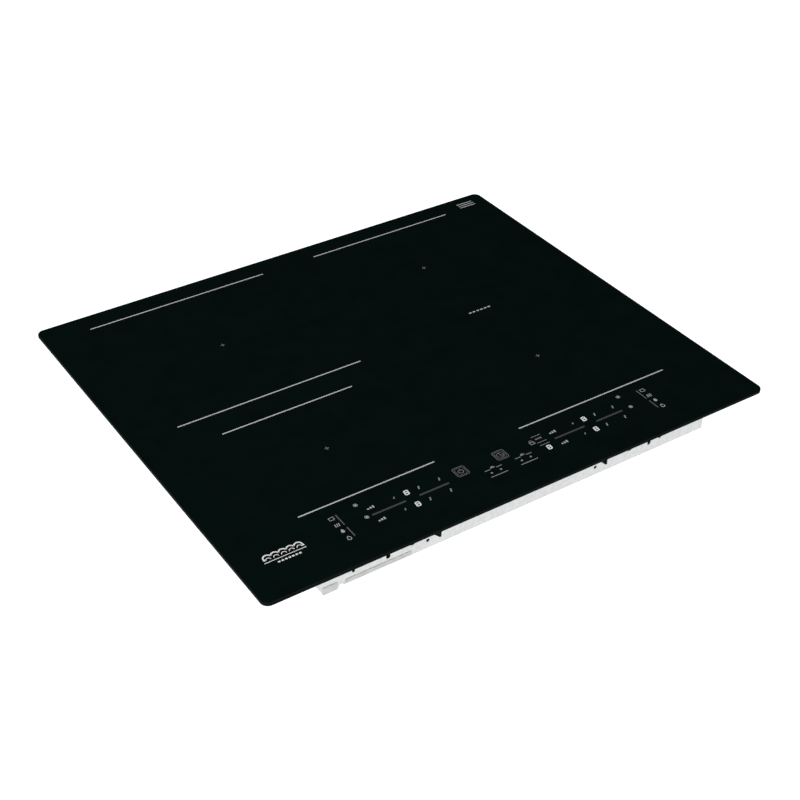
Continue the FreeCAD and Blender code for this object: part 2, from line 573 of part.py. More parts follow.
# ---- Mains connection ----
def terminal_box():
    """The moulded terminal box in the rear wall, with two ears that hold the cover's pins."""
    back, front, wall = PAN_BACK, PAN_BACK - TERMINAL_DEPTH, 1.6
    half = TERMINAL_W / 2
    x0, x1 = TERMINAL_X - half + 0.2, TERMINAL_X + half - 0.2
    z0, z1 = TERMINAL_Z0 + 0.2, TERMINAL_Z1 - 0.2
    shell = box(x0, x1, front, back, z0, z1)
    hollow = box(x0 + wall, x1 - wall, front + wall, back + 1, z0 + wall, z1 - wall)
    pivot_y = back + COVER_PIVOT_OUT
    parts = [shell.cut(hollow)]
    for n in range(1, 5):
        x = x0 + n * (x1 - x0) / 5
        parts.append(box(x - 0.6, x + 0.6, front + 1, back - 12, TERMINAL_Z0 + 1, TERMINAL_Z0 + 12))
    for side in (-1, 1):
        x = TERMINAL_X + side * (half + 1.6)
        ear = Part.makeCylinder(3.0, 3.0, V(x - 1.5, pivot_y, COVER_PIVOT_Z), ALONG_X)
        ear_root = box(x - 1.5, x + 1.5, back, pivot_y, COVER_PIVOT_Z - 3, COVER_PIVOT_Z + 3)
        foot_x0, foot_x1 = sorted((x - side * 1.5, x + side * 8))
        foot = box(foot_x0, foot_x1, back, back + 1.2, COVER_PIVOT_Z - 12, COVER_PIVOT_Z + 3)
        tie_x0, tie_x1 = sorted((TERMINAL_X + side * (half - 0.2), x + side * 1.5))
        tie = box(tie_x0, tie_x1, back, back + 0.8, z0, z1)
        cross_tie = box(tie_x0 - 2, tie_x1 + 2, back, back + 0.8, TERMINAL_Z1 - 6, TERMINAL_Z1 + 1)
        edge_x0, edge_x1 = sorted((TERMINAL_X + side * (half - 1.8), TERMINAL_X + side * half))
        edge = box(edge_x0, edge_x1, back - 2, back + 0.8, z0, z1)
        parts += [ear, ear_root, foot, tie, cross_tie, edge]
    bore = Part.makeCylinder(COVER_PIN_R + 0.06, TERMINAL_W + 12, V(x0 - 6, pivot_y, COVER_PIVOT_Z), ALONG_X)
    return join(parts).cut(bore)


def terminal_clamps():
    """Brass clamps, one in each bay of the terminal box, with a screw on top."""
    pitch = (TERMINAL_W - 0.4) / 5
    y0, z0 = PAN_BACK - TERMINAL_DEPTH + 3, TERMINAL_Z0 + 1.8
    clamps = []
    for n in range(5):
        x = TERMINAL_X + (n - 2) * pitch
        body = box(x - 4.5, x + 4.5, y0, y0 + 9, z0, z0 + 8)
        mouth = Part.makeCylinder(2.2, 12.0, V(x, y0 - 1, z0 + 3.4), ALONG_Y)
        screw = rod(2.6, x, y0 + 4.5, z0 + 7, z0 + 10.5)
        clamps.append(join([body.cut(mouth), screw]))
    return group(clamps)


def terminal_cover():
    """The flap over the terminal box. It hangs from two pins at its top edge."""
    y0 = PAN_BACK + 1.2
    y1, z0 = y0 + COVER_T, TERMINAL_Z0 - 1
    half = TERMINAL_W / 2 - 0.6
    pivot_y = PAN_BACK + COVER_PIVOT_OUT
    flap = box(TERMINAL_X - half, TERMINAL_X + half, y0, y1, z0, COVER_PIVOT_Z - 1.4)
    grip = box(TERMINAL_X - 9, TERMINAL_X + 9, y1 - 0.2, y1 + 1.8, z0, z0 + 2)
    roll = Part.makeCylinder(2.4, 2 * half, V(TERMINAL_X - half, pivot_y, COVER_PIVOT_Z), ALONG_X)
    reach = TERMINAL_W / 2 + 3.0
    pin = Part.makeCylinder(COVER_PIN_R, 2 * reach, V(TERMINAL_X - reach, pivot_y, COVER_PIVOT_Z), ALONG_X)
    ribs = []
    for x in (TERMINAL_X - 24, TERMINAL_X + 24):
        ribs.append(box(x - 0.6, x + 0.6, y1 - 0.2, y1 + 0.8, z0 + 4, COVER_PIVOT_Z - 5))
    return join([flap, grip, roll, pin] + ribs)


def cable_entry():
    """The bush for the supply cable, in the rear wall."""
    y0, y1 = PAN_BACK - 8.0, PAN_BACK + 6.0
    parts = [
        Part.makeCylinder(CABLE_BUSH_R - 0.1, y1 - y0, V(CABLE_X, y0, CABLE_Z), ALONG_Y),
        Part.makeCylinder(CABLE_BUSH_R + 2.5, 2.0, V(CABLE_X, PAN_BACK, CABLE_Z), ALONG_Y),
        Part.makeCylinder(CABLE_BUSH_R + 2.0, 2.0, V(CABLE_X, PAN_BACK - SHEET - 2.0, CABLE_Z), ALONG_Y),
    ]
    bush = join(parts)
    return bush.cut(Part.makeCylinder(CABLE_BORE_R, 40.0, V(CABLE_X, y0 - 5, CABLE_Z), ALONG_Y))


# ---- Controls ----
def control_carrier():
    """The moulded tray of the control board. Its end tabs lie on the frame's shelf."""
    wall = 1.6
    shelf_top = FRAME_Z + SHEET
    inner_x, y0, y1 = CARRIER_X - wall, CARRIER_Y0 + wall, CARRIER_Y1 - wall
    tray = box(-CARRIER_X, CARRIER_X, CARRIER_Y0, CARRIER_Y1, CARRIER_Z0, CARRIER_Z1)
    parts = [tray.cut(box(-inner_x, inner_x, y0, y1, CARRIER_Z0 + wall, CARRIER_Z1 + 1))]
    for side in (-1, 1):
        x0, x1 = sorted((side * (CARRIER_X - 0.5), side * (CARRIER_X + 32)))
        parts.append(box(x0, x1, CARRIER_Y0 + 8, CARRIER_Y1 - 8, shelf_top, shelf_top + 2))
    for x in (-150.0, -50.0, 50.0, 150.0):
        parts.append(box(x - 2, x + 2, CARRIER_Y0 + 1, CARRIER_Y1 - 1, CARRIER_Z0 + 1, CONTROL_BOARD_Z))
    return join(parts)


def control_board():
    z1 = CONTROL_BOARD_Z + BOARD_T
    board = box(-CARRIER_X + 3, CARRIER_X - 3, CARRIER_Y0 + 3, CARRIER_Y1 - 3, CONTROL_BOARD_Z, z1)
    chips = [box(x, x + 10, -190, -184, z1 - 0.2, z1 + 1.4) for x in (-90.0, -20.0, 70.0, 130.0)]
    return join([board] + chips)


def key_places():
    """The touch keys' centres: two rows under each slider, and the keys in the middle."""
    places = []
    for shift in (0.0, CONTROL_SHIFT):
        places += [(x + shift, SLIDER_Y) for x in (-146.0, -133.0, -120.0, -93.0, -80.0, -71.0)]
    places += [(side * 187.5, y) for side in (-1, 1) for y in (-194.0, -216.0)]
    return places + [(-47.0, -197.0), (0.0, -197.0), (-18.0, -212.0), (18.0, -212.0), (37.5, -197.5)]


def touch_springs():
    """Barrel springs that reach from the board to the glass, each as a thin sleeve."""
    z0, z1 = CONTROL_BOARD_Z + BOARD_T, HEIGHT - GLASS_T
    return group([ring(3.6, 3.1, x, y, z0, z1) for x, y in key_places()])


def displays():
    """The lit number displays, which stand on the board under the glass."""
    z0, z1 = CONTROL_BOARD_Z + BOARD_T, HEIGHT - GLASS_T - 0.4
    blocks = []
    for shift in (0.0, CONTROL_SHIFT):
        x = -108.0 + shift
        blocks += [box(x - 7, x + 7, y - 4.5, y + 4.5, z0, z1) for y in (-195.0, -215.0)]
    blocks.append(box(44, 52, -218, -209, z0, z1))
    return group(blocks)


# ---- Spring clips ----
def clip_leg(side, y):
    """A clip's free leg: a leaf that bows out beside the frame and is tucked in below."""
    edge, y0 = FRAME_W / 2, y - CLIP_W / 2
    points = [(edge + 0.5, CLIP_PIVOT_Z), (edge + 3.0, 39.6), (edge + 3.0, 37.6), (edge + 1.0, 31.4)]
    outer = [V(side * (x + CLIP_T), y0, z) for x, z in points]
    inner = [V(side * x, y0, z) for x, z in reversed(points)]
    return prism(outer + inner, V(0, CLIP_W, 0))


def clip_bases():
    """The clips' fixed ends, riveted to the frame's side walls above their legs."""
    edge = FRAME_W / 2
    base = box(edge, edge + 1.1, -CLIP_W / 2, CLIP_W / 2, CLIP_PIVOT_Z + 0.4, 49.4)
    rivets = [Part.makeCylinder(1.5, 1.6, V(edge, y, 48.0), ALONG_X) for y in (-4.0, 4.0)]
    base = join([base] + rivets)
    bases = [base.translated(V(0, y, 0)) for y in (-CLIP_Y, CLIP_Y)]
    return group(bases + [mirrored(b) for b in bases])


# ---- Screws ----
def pan_head(x, y, z, length, down=False):
    """A screw with its head above (or, down, below) the sheets at z."""
    way = -1 if down else 1
    z0, z1 = sorted((z, z + way * 2.2))
    shank0, shank1 = sorted((z, z - way * length))
    head = rod(3.6, x, y, z0, z1)
    end = z0 if down else z1
    head = head.makeFillet(1.0, [e for e in head.Edges if abs(e.BoundBox.ZMax - end) < 0.01])
    cross = [box(x - a, x + a, y - b, y + b, end - 1, end + 1) for a, b in ((2.0, 0.5), (0.5, 2.0))]
    return drill(join([head, rod(1.45, x, y, shank0, shank1)]), cross)


def screws():
    """All screws: the pan's flanges, the rail's ends and the fans' ears."""
    pieces = []
    for side in (-1, 1):
        pieces += [pan_head(side * PAN_SCREW_X, y, FRAME_Z - SHEET, 3.0, down=True) for y in PAN_SCREWS_Y]
        for x in (side * FAN_X - EAR_DX, side * FAN_X + EAR_DX):
            pieces.append(pan_head(x, FAN_Y + EAR_DY, SHEET + EAR_T, 3.8))
    pieces += [pan_head(0.0, y, FRAME_Z + SHEET, 4.0) for y in RAIL_SCREWS_Y]
    return group(pieces)


# ---- Output ----
def sub_parts():
    """Every node's name and shape."""
    nodes = {
        "glass_top": glass_top(),
        "edge_seal": edge_seal(),
        "upper_frame": upper_frame(),
        "base_pan": base_pan(),
        "front_foot": front_foot(),
        "centre_rail": centre_rail(),
        "coil_plate_left": coil_plate(-1),
        "coil_plate_right": coil_plate(1),
        "plate_springs": plate_springs(),
        "insulating_sheet": insulating_sheet(),
        "filter_board": filter_board(),
        "power_transistors": power_transistors(),
        "film_capacitors": film_capacitors(),
        "chokes": chokes(),
        "relays": relays(),
        "fan_motors": both_sides(fan_motor()),
        "terminal_box": terminal_box(),
        "terminal_clamps": terminal_clamps(),
        "terminal_cover": terminal_cover(),
        "cable_entry": cable_entry(),
        "control_carrier": control_carrier(),
        "control_board": control_board(),
        "touch_springs": touch_springs(),
        "displays": displays(),
        "clip_bases": clip_bases(),
        "screws": screws(),
    }
    for place, (x, y, radius) in ZONES.items():
        nodes[f"coil_former_{place}"] = coil_former(x, y, radius)
        nodes[f"coil_winding_{place}"] = coil_winding(x, y, radius)
        nodes[f"ferrite_bars_{place}"] = ferrite_bars(x, y, radius)
        nodes[f"mica_disc_{place}"] = mica_disc(x, y, radius)
        nodes[f"temperature_sensor_{place}"] = temperature_sensor(x, y)
    pairs = {
        "power_board": power_board(),
        "heat_sink": heat_sink(),
        "fan_housing": fan_housing(),
        "impeller": impeller(),
        "air_duct": air_duct(),
    }
    for name, shape in pairs.items():
        nodes[f"{name}_right"] = shape
        nodes[f"{name}_left"] = mirrored(shape)
    for side, side_name in ((-1, "left"), (1, "right")):
        for y, end_name in ((-CLIP_Y, "front"), (CLIP_Y, "rear")):
            nodes[f"clip_leg_{end_name}_{side_name}"] = clip_leg(side, y)
    return nodes


def main():
    os.makedirs("parts", exist_ok=True)
    for name, shape in sub_parts().items():
        shape.exportStep(f"parts/{name}.step")


main()
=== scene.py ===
import json
import math

import bmesh
import bpy
from mathutils import Matrix, Quaternion, Vector


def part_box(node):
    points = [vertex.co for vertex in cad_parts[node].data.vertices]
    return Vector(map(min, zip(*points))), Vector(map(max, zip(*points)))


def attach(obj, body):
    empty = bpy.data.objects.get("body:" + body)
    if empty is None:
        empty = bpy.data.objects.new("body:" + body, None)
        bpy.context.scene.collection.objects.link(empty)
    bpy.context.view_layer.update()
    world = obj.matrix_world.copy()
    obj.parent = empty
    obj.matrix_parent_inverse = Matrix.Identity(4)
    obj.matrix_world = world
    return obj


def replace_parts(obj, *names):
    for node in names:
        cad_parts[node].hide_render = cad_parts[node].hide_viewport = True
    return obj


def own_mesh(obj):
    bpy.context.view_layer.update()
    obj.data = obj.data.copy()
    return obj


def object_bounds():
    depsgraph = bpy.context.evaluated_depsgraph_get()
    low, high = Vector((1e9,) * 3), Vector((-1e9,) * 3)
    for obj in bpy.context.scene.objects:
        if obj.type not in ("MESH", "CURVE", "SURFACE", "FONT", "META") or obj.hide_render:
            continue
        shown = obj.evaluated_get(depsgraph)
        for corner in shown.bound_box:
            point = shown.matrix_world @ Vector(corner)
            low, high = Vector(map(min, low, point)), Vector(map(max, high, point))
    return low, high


# An induction hob: the looks around its CAD frame. Millimetres until a mesh is made, then metres.
# +Z is up, the control strip faces -Y, and x = y = 0 is the middle of the glass.

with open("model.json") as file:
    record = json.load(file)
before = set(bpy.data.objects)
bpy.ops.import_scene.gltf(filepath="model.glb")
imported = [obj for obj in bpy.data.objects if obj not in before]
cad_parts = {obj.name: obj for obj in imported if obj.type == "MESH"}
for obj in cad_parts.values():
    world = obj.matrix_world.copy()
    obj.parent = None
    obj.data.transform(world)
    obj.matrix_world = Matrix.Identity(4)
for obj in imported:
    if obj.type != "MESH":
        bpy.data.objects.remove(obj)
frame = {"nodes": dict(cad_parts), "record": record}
CAD_BOX = [list(corner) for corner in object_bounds()]
MM = 0.001


def node_box(node):
    """A CAD node's lowest and highest corners, in millimetres."""
    low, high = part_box(node)
    return low / MM, high / MM


# ---- Ink on the glass ----
INK_Z = node_box("glass_top")[1].z
INK_T = 0.04  # half of it stands above the glass
ZONE_LINE_W = 1.5
# y, and the two ends along x, of the lines that mark the zones' front and back edges
ZONE_LINES = (
    (227.8, -243.0, -28.0),
    (229.5, 41.0, 230.0),
    (15.5, -243.0, -28.0),
    (-18.9, -211.0, -60.0),
    (-169.6, -212.0, -60.0),
    (-171.6, 41.0, 230.0),
)
ZONE_CENTRES = ((-136.0, 122.0), (-136.0, -95.0), (136.0, 138.0), (136.0, -79.0))
CROSS_HALF, CROSS_W = 2.4, 0.7
GROUP_SHIFT = 213.8  # from the left group of controls to the right one
COLUMN_X, COLUMN_LINE_X = 187.5, 181.5
COLUMN_Y = (-188.5, -199.0, -208.4, -219.8)
COLUMN_LINES = ((-202.0, -185.5), (-220.0, -206.0))
SLIDER_Y, DISPLAYS_Y = -204.2, (-194.2, -213.9)
SLIDERS_X, SLIDER_W = ((-153.0, -115.5), (-100.0, -66.5)), 2.2
LEVEL_X, LEVEL_PITCH, LEVEL_W, LEVEL_GROWTH = -151.4, 2.9, 1.9, 0.7
ZONE_MARKS_X, SHORT_MARK_X = (-94.5, -71.0), -122.5
END_DOT_X, END_DOTS_Y = 158.7, (-183.8, -204.0)
KEYS_X, KEYS_Y = (-47.0, 0.0), -195.8  # power and clock
PAIR_KEYS_X, PAIR_KEYS_Y = (-18.0, 18.0), -209.0
LOCK_X, LOCK_Y = 37.4, -198.0
TIMER_LINES_X, TIMER_LINES_Y = (41.5, 53.0), (-190.2, -200.8, -205.6)
TIMER_BARS_X0, TIMER_BAR_PITCH, TIMER_BARS_Y = 44.2, 2.0, (-196.0, -194.0)
DISPLAY_X, TIMER_X, TIMER_Y = -108.4, 48.0, -212.0


class Ink:
    """Flat shapes of one thickness, gathered into one mesh. Every shape is a closed solid."""

    def __init__(self):
        self.vertices = []
        self.faces = []

    def _walls(self, first, count):
        """The upright faces between a lower row of points and the upper one."""
        low, high = first, first + count
        steps = range(count)
        return [(low + n, low + (n + 1) % count, high + (n + 1) % count, high + n) for n in steps]

    def _rows(self, points):
        """Adds the points twice, below and above, and returns the first one's number."""
        first = len(self.vertices)
        for z in (INK_Z - INK_T / 2, INK_Z + INK_T / 2):
            self.vertices += [(x * MM, y * MM, z * MM) for x, y in points]
        return first

    def plate(self, points):
        """A filled outline, counter-clockwise."""
        count = len(points)
        first = self._rows(points)
        self.faces += self._walls(first, count)
        self.faces.append(tuple(first + count + n for n in range(count)))
        self.faces.append(tuple(first + n for n in reversed(range(count))))

    def hollow(self, outer, inner):
        """An outline with a hole; both have the same number of points, counter-clockwise."""
        count = len(outer)
        a = self._rows(outer)
        b = self._rows(inner)
        self.faces += self._walls(a, count)
        self.faces += [face[::-1] for face in self._walls(b, count)]
        for n in range(count):
            m = (n + 1) % count
            self.faces.append((a + count + n, a + count + m, b + count + m, b + count + n))
            self.faces.append((a + m, a + n, b + n, b + m))

    def bar(self, x0, y0, x1, y1, width):
        """A straight line with square ends."""
        along = Vector((x1 - x0, y1 - y0)).normalized() * width / 2
        dx, dy = -along.y, along.x
        self.plate([(x0 - dx, y0 - dy), (x1 - dx, y1 - dy), (x1 + dx, y1 + dy), (x0 + dx, y0 + dy)])

    def dot(self, x, y, radius):
        self.plate(arc(x, y, radius, 0, 360, 20)[:-1])

    def hoop(self, x, y, radius, width, start=0.0, end=360.0):
        """A ring, or a part of one between two angles in degrees."""
        outer = arc(x, y, radius + width / 2, start, end, 32)
        inner = arc(x, y, radius - width / 2, start, end, 32)
        if end - start == 360.0:
            self.hollow(outer[:-1], inner[:-1])
        else:
            self.plate(outer + inner[::-1])

    def rounded(self, x, y, half_w, half_h, corner, width):
        """The outline of a rectangle with round corners, drawn with a line of a width."""
        outer = rounded_outline(x, y, half_w, half_h, corner)
        inner = rounded_outline(x, y, half_w - width, half_h - width, max(corner - width, 0.1))
        self.hollow(outer, inner)

    def piece(self, name, material, slot="black_glass"):
        """Makes the piece, which rides on the casing."""
        mesh = bpy.data.meshes.new(name)
        mesh.from_pydata(self.vertices, [], self.faces)
        mesh.update()
        placed(name, mesh, material, "casing")


def arc(x, y, radius, start, end, steps):
    """Points on a circle, from one angle to another in degrees, both ends included."""
    angles = [math.radians(start + (end - start) * n / steps) for n in range(steps + 1)]
    return [(x + radius * math.cos(a), y + radius * math.sin(a)) for a in angles]


def rounded_outline(x, y, half_w, half_h, corner):
    """A rectangle with round corners, around its centre."""
    points = []
    for n, (sx, sy) in enumerate(((1, 1), (-1, 1), (-1, -1), (1, -1))):
        centre_x, centre_y = x + sx * (half_w - corner), y + sy * (half_h - corner)
        points += arc(centre_x, centre_y, corner, n * 90.0, n * 90.0 + 90.0, 6)
    return points


def placed(name, mesh, material, body):
    """A new piece from a mesh in metres, with its finish and the body it rides on."""
    piece = bpy.data.objects.new(name, mesh)
    bpy.context.scene.collection.objects.link(piece)
    piece.data.materials.append(material)
    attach(piece, body)
    return piece


# ---- Materials ----
def wire(tree, out, socket):
    tree.links.new(out, socket)


class Finish:
    """A Principled material whose colour, gloss and relief come from procedural nodes."""

    def __init__(self, name, metallic=0.0, **sockets):
        self.material = bpy.data.materials.new(name)
        self.material.use_nodes = True
        self.tree = self.material.node_tree
        self.shader = self.tree.nodes["Principled BSDF"]
        self.shader.inputs["Metallic"].default_value = metallic
        for socket, value in sockets.items():
            self.shader.inputs[socket.replace("_", " ")].default_value = value
        self.place = self.tree.nodes.new("ShaderNodeTexCoord").outputs["Object"]

    def stretched(self, x, y, z):
        """Object coordinates scaled along each axis, for grain with a direction."""
        node = self.tree.nodes.new("ShaderNodeMapping")
        node.inputs["Scale"].default_value = (x, y, z)
        wire(self.tree, self.place, node.inputs["Vector"])
        return node.outputs["Vector"]

    def noise(self, cells, detail=3.0, place=None):
        """Noise with that many cells in a metre."""
        node = self.tree.nodes.new("ShaderNodeTexNoise")
        node.inputs["Scale"].default_value = cells
        node.inputs["Detail"].default_value = detail
        wire(self.tree, place or self.place, node.inputs["Vector"])
        return node.outputs["Fac"]

    def cells(self, per_metre, output="Color", feature="F1"):
        """Voronoi cells: a value for each cell, or the distance inside it."""
        node = self.tree.nodes.new("ShaderNodeTexVoronoi")
        node.feature = feature
        node.inputs["Scale"].default_value = per_metre
        wire(self.tree, self.place, node.inputs["Vector"])
        if output != "Color":
            return node.outputs[output]
        grey = self.tree.nodes.new("ShaderNodeSeparateColor")
        wire(self.tree, node.outputs["Color"], grey.inputs["Color"])
        return grey.outputs["Red"]

    def scaled(self, value, low, high, from_low=0.3, from_high=0.7):
        """The value's usual range stretched to low..high."""
        node = self.tree.nodes.new("ShaderNodeMapRange")
        node.inputs["From Min"].default_value = from_low
        node.inputs["From Max"].default_value = from_high
        node.inputs["To Min"].default_value = low
        node.inputs["To Max"].default_value = high
        wire(self.tree, value, node.inputs["Value"])
        return node.outputs["Result"]

    def colour(self, value, *stops):
        """Colours along a value. A stop is (place, (r, g, b))."""
        node = self.tree.nodes.new("ShaderNodeValToRGB")
        ramp = node.color_ramp
        while len(ramp.elements) < len(stops):
            ramp.elements.new(0.5)
        for element, (place, rgb) in zip(ramp.elements, stops):
            element.position = place
            element.color = (*rgb, 1.0)
        wire(self.tree, value, node.inputs["Fac"])
        wire(self.tree, node.outputs["Color"], self.shader.inputs["Base Color"])
        return self

    def shade(self, value, rgb, spread):
        """One colour that gets darker and lighter by a share of itself."""
        dark = tuple(c * (1 - spread) for c in rgb)
        light = tuple(min(1.0, c * (1 + spread)) for c in rgb)
        return self.colour(value, (0.3, dark), (0.7, light))

    def facing_up(self):
        """1 where the surface faces straight up, 0 on upright faces."""
        shape = self.tree.nodes.new("ShaderNodeNewGeometry")
        parts = self.tree.nodes.new("ShaderNodeSeparateXYZ")
        wire(self.tree, shape.outputs["True Normal"], parts.inputs["Vector"])
        return self.scaled(parts.outputs["Z"], 0.0, 1.0, 0.5, 0.95)

    def blended(self, share, low, high, socket):
        """Drives a socket from a fixed value at share 0 to another output at share 1."""
        node = self.tree.nodes.new("ShaderNodeMix")
        node.inputs["A"].default_value = low
        wire(self.tree, share, node.inputs["Factor"])
        wire(self.tree, high, node.inputs["B"])
        wire(self.tree, node.outputs["Result"], socket)

    def gloss(self, value, low, high):
        wire(self.tree, self.scaled(value, low, high), self.shader.inputs["Roughness"])
        return self

    def relief(self, value, depth_mm, strength=0.5):
        node = self.tree.nodes.new("ShaderNodeBump")
        node.inputs["Strength"].default_value = strength
        node.inputs["Distance"].default_value = depth_mm * MM
        wire(self.tree, value, node.inputs["Height"])
        wire(self.tree, node.outputs["Normal"], self.shader.inputs["Normal"])
        return self


def black_glass():
    """Polished on top. The ground edges are dull, so they stay black."""
    finish = Finish("black_glass_ceramic", IOR=1.5, Specular_IOR_Level=0.03)
    finish.shade(finish.noise(45.0), (0.0011, 0.0032, 0.0029), 0.1)
    polished = finish.scaled(finish.noise(14.0), 0.035, 0.075)
    finish.blended(finish.facing_up(), 0.65, polished, finish.shader.inputs["Roughness"])
    return finish.relief(finish.noise(60.0, 1.0), 0.01, 0.04).material


def printed_ink(name, level):
    """Fired ceramic ink: slightly uneven grey."""
    finish = Finish(name, Specular_IOR_Level=0.2)
    finish.shade(finish.noise(900.0), (level, level, level * 0.99), 0.12)
    finish.gloss(finish.noise(400.0), 0.4, 0.55)
    return finish.relief(finish.noise(3000.0), 0.01, 0.3).material


def lit_segments():
    """Light through the glass over a number display."""
    finish = Finish("lit_segments", Specular_IOR_Level=0.2, Emission_Strength=0.28)
    finish.shader.inputs["Emission Color"].default_value = (0.95, 0.97, 1.0, 1.0)
    finish.shade(finish.noise(700.0), (0.3, 0.3, 0.31), 0.1)
    return finish.gloss(finish.noise(300.0), 0.3, 0.4).material


def galvanised():
    """Zinc spangle: flat crystals of slightly different grey, with fine noise on top."""
    finish = Finish("galvanised_sheet", metallic=0.8)
    finish.shade(finish.cells(380.0), (0.62, 0.63, 0.63), 0.05)
    finish.gloss(finish.cells(380.0), 0.38, 0.44)
    return finish.relief(finish.noise(900.0), 0.02, 0.2).material


def grained(name, rgb, metallic=0.0, grain=1400.0, rough=(0.45, 0.6), depth_mm=0.02):
    """Moulded, cast or rubber surfaces with an even grain."""
    finish = Finish(name, metallic)
    finish.shade(finish.noise(grain / 12, 4.0), rgb, 0.12)
    finish.gloss(finish.noise(grain / 5), *rough)
    return finish.relief(finish.noise(grain), depth_mm, 0.4).material


def brushed(name, rgb, along="x"):
    """Rolled or drawn metal with fine lines along one axis."""
    finish = Finish(name, metallic=1.0)
    scale = (30.0, 1600.0, 1600.0) if along == "x" else (1600.0, 30.0, 1600.0)
    lines = finish.noise(1.0, 2.0, finish.stretched(*scale))
    finish.shade(lines, rgb, 0.05)
    finish.gloss(lines, 0.31, 0.36)
    return finish.relief(lines, 0.01, 0.12).material


def circuit_board():
    """Green solder resist with the lighter pattern of tracks under it."""
    finish = Finish("circuit_board", Coat_Weight=0.3)
    tracks = finish.cells(170.0, feature="DISTANCE_TO_EDGE", output="Distance")
    track, edge, between = (0.05, 0.20, 0.09), (0.04, 0.17, 0.08), (0.015, 0.085, 0.04)
    finish.colour(tracks, (0.0, track), (0.06, edge), (0.09, between))
    finish.gloss(finish.noise(220.0), 0.3, 0.42)
    return finish.relief(tracks, 0.03, 0.3).material


def mica():
    """Pressed flakes of different lightness."""
    finish = Finish("mica")
    finish.colour(finish.cells(420.0), (0.0, (0.46, 0.42, 0.34)), (1.0, (0.72, 0.68, 0.58)))
    finish.gloss(finish.cells(420.0), 0.3, 0.5)
    return finish.relief(finish.noise(1600.0), 0.02, 0.4).material


def finishes():
    """The material of each of the record's slots."""
    return {
        "black_glass": black_glass(),
        "seal_foam": grained(
            "seal_foam", (0.02, 0.02, 0.021), grain=900.0, rough=(0.85, 0.95), depth_mm=0.15
        ),
        "galvanised": galvanised(),
        "foot_plastic": grained("foot_plastic", (0.47, 0.48, 0.47)),
        "plate_aluminium": brushed("plate_aluminium", (0.80, 0.80, 0.80)),
        "sink_aluminium": brushed("sink_aluminium", (0.72, 0.72, 0.73), along="y"),
        "spring_steel": brushed("spring_steel", (0.55, 0.55, 0.57)),
        "screw_steel": grained("screw_steel", (0.66, 0.65, 0.62), metallic=1.0, rough=(0.28, 0.4)),
        "clear_plastic": grained("insulating_film", (0.62, 0.60, 0.50), rough=(0.25, 0.4)),
        "board_green": circuit_board(),
        "black_plastic": grained("black_plastic", (0.028, 0.028, 0.029)),
        "fan_plastic": grained("fan_plastic", (0.05, 0.05, 0.055)),
        "duct_plastic": grained("duct_plastic", (0.09, 0.09, 0.09)),
        "capacitor_plastic": grained("capacitor_plastic", (0.52, 0.36, 0.07), rough=(0.25, 0.35)),
        "relay_plastic": grained("relay_plastic", (0.04, 0.09, 0.28), rough=(0.25, 0.35)),
        "motor_core": grained("motor_core", (0.17, 0.17, 0.18), metallic=0.9, rough=(0.4, 0.55)),
        "copper": grained("enamelled_copper", (0.62, 0.25, 0.12), metallic=1.0, rough=(0.28, 0.4)),
        "ferrite": grained("ferrite", (0.07, 0.07, 0.075), rough=(0.5, 0.7)),
        "mica": mica(),
        "sensor_silicone": grained("sensor_silicone", (0.72, 0.72, 0.70)),
        "terminal_plastic": grained("terminal_plastic", (0.62, 0.62, 0.59)),
        "clamp_brass": grained("clamp_brass", (0.72, 0.55, 0.25), metallic=1.0, rough=(0.25, 0.38)),
        "cover_plastic": grained("cover_plastic", (0.06, 0.06, 0.063)),
        "bush_rubber": grained("bush_rubber", (0.03, 0.03, 0.03), rough=(0.7, 0.85)),
        "display_plastic": grained("display_plastic", (0.06, 0.012, 0.012), rough=(0.15, 0.25)),
    }


FINISHES = finishes()


def paint_frame():
    """Gives every CAD node its slot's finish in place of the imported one."""
    for row in frame["record"]["subparts"]:
        node = frame["nodes"][row["node"]]
        node.data.materials.clear()
        node.data.materials.append(FINISHES[row["material_slot"]])


# ---- The print ----
def print_zones():
    ink = Ink()
    for y, x0, x1 in ZONE_LINES:
        ink.bar(x0, y, x1, y, ZONE_LINE_W)
    ink.piece("zone_lines", printed_ink("zone_ink", 0.30))


def print_zone_centres():
    ink = Ink()
    for x, y in ZONE_CENTRES:
        ink.bar(x - CROSS_HALF, y, x + CROSS_HALF, y, CROSS_W)
        ink.bar(x, y - CROSS_HALF, x, y + CROSS_HALF, CROSS_W)
    ink.piece("zone_centres", printed_ink("centre_ink", 0.12))


def pot(ink, x, y):
    """A pan with its lid."""
    ink.bar(x - 2.4, y - 2.0, x + 2.4, y - 2.0, 0.6)
    for side in (-2.4, 2.4):
        ink.bar(x + side, y - 2.0, x + side, y + 1.2, 0.6)
    ink.bar(x - 3.0, y + 1.9, x + 3.0, y + 1.9, 0.6)


def waves(ink, x, y):
    """Rising heat: three upright strokes."""
    for dx in (-2.0, 0.0, 2.0):
        ink.bar(x + dx - 0.4, y - 2.2, x + dx + 0.4, y + 2.2, 0.8)


def drop(ink, x, y):
    ink.plate(arc(x, y - 0.6, 1.9, -200, 20, 14) + [(x, y + 2.9)])


def flame(ink, x, y):
    ink.hoop(x, y - 0.6, 1.9, 0.8, -210, 30)
    ink.bar(x - 1.6, y + 0.6, x, y + 3.0, 0.7)
    ink.bar(x + 1.6, y + 0.6, x, y + 3.0, 0.7)


def print_columns():
    """The four function pictograms at each end of the strip, with a faint upright line beside them."""
    icons, lines = Ink(), Ink()
    for side in (-1, 1):
        for draw, y in zip((pot, waves, drop, flame), COLUMN_Y):
            draw(icons, side * COLUMN_X, y)
        x = side * COLUMN_LINE_X
        for y0, y1 in COLUMN_LINES:
            lines.bar(x, y0, x, y1, 1.2)
    icons.piece("function_icons", printed_ink("icon_ink", 0.22))
    lines.piece("column_lines", printed_ink("faint_ink", 0.06))


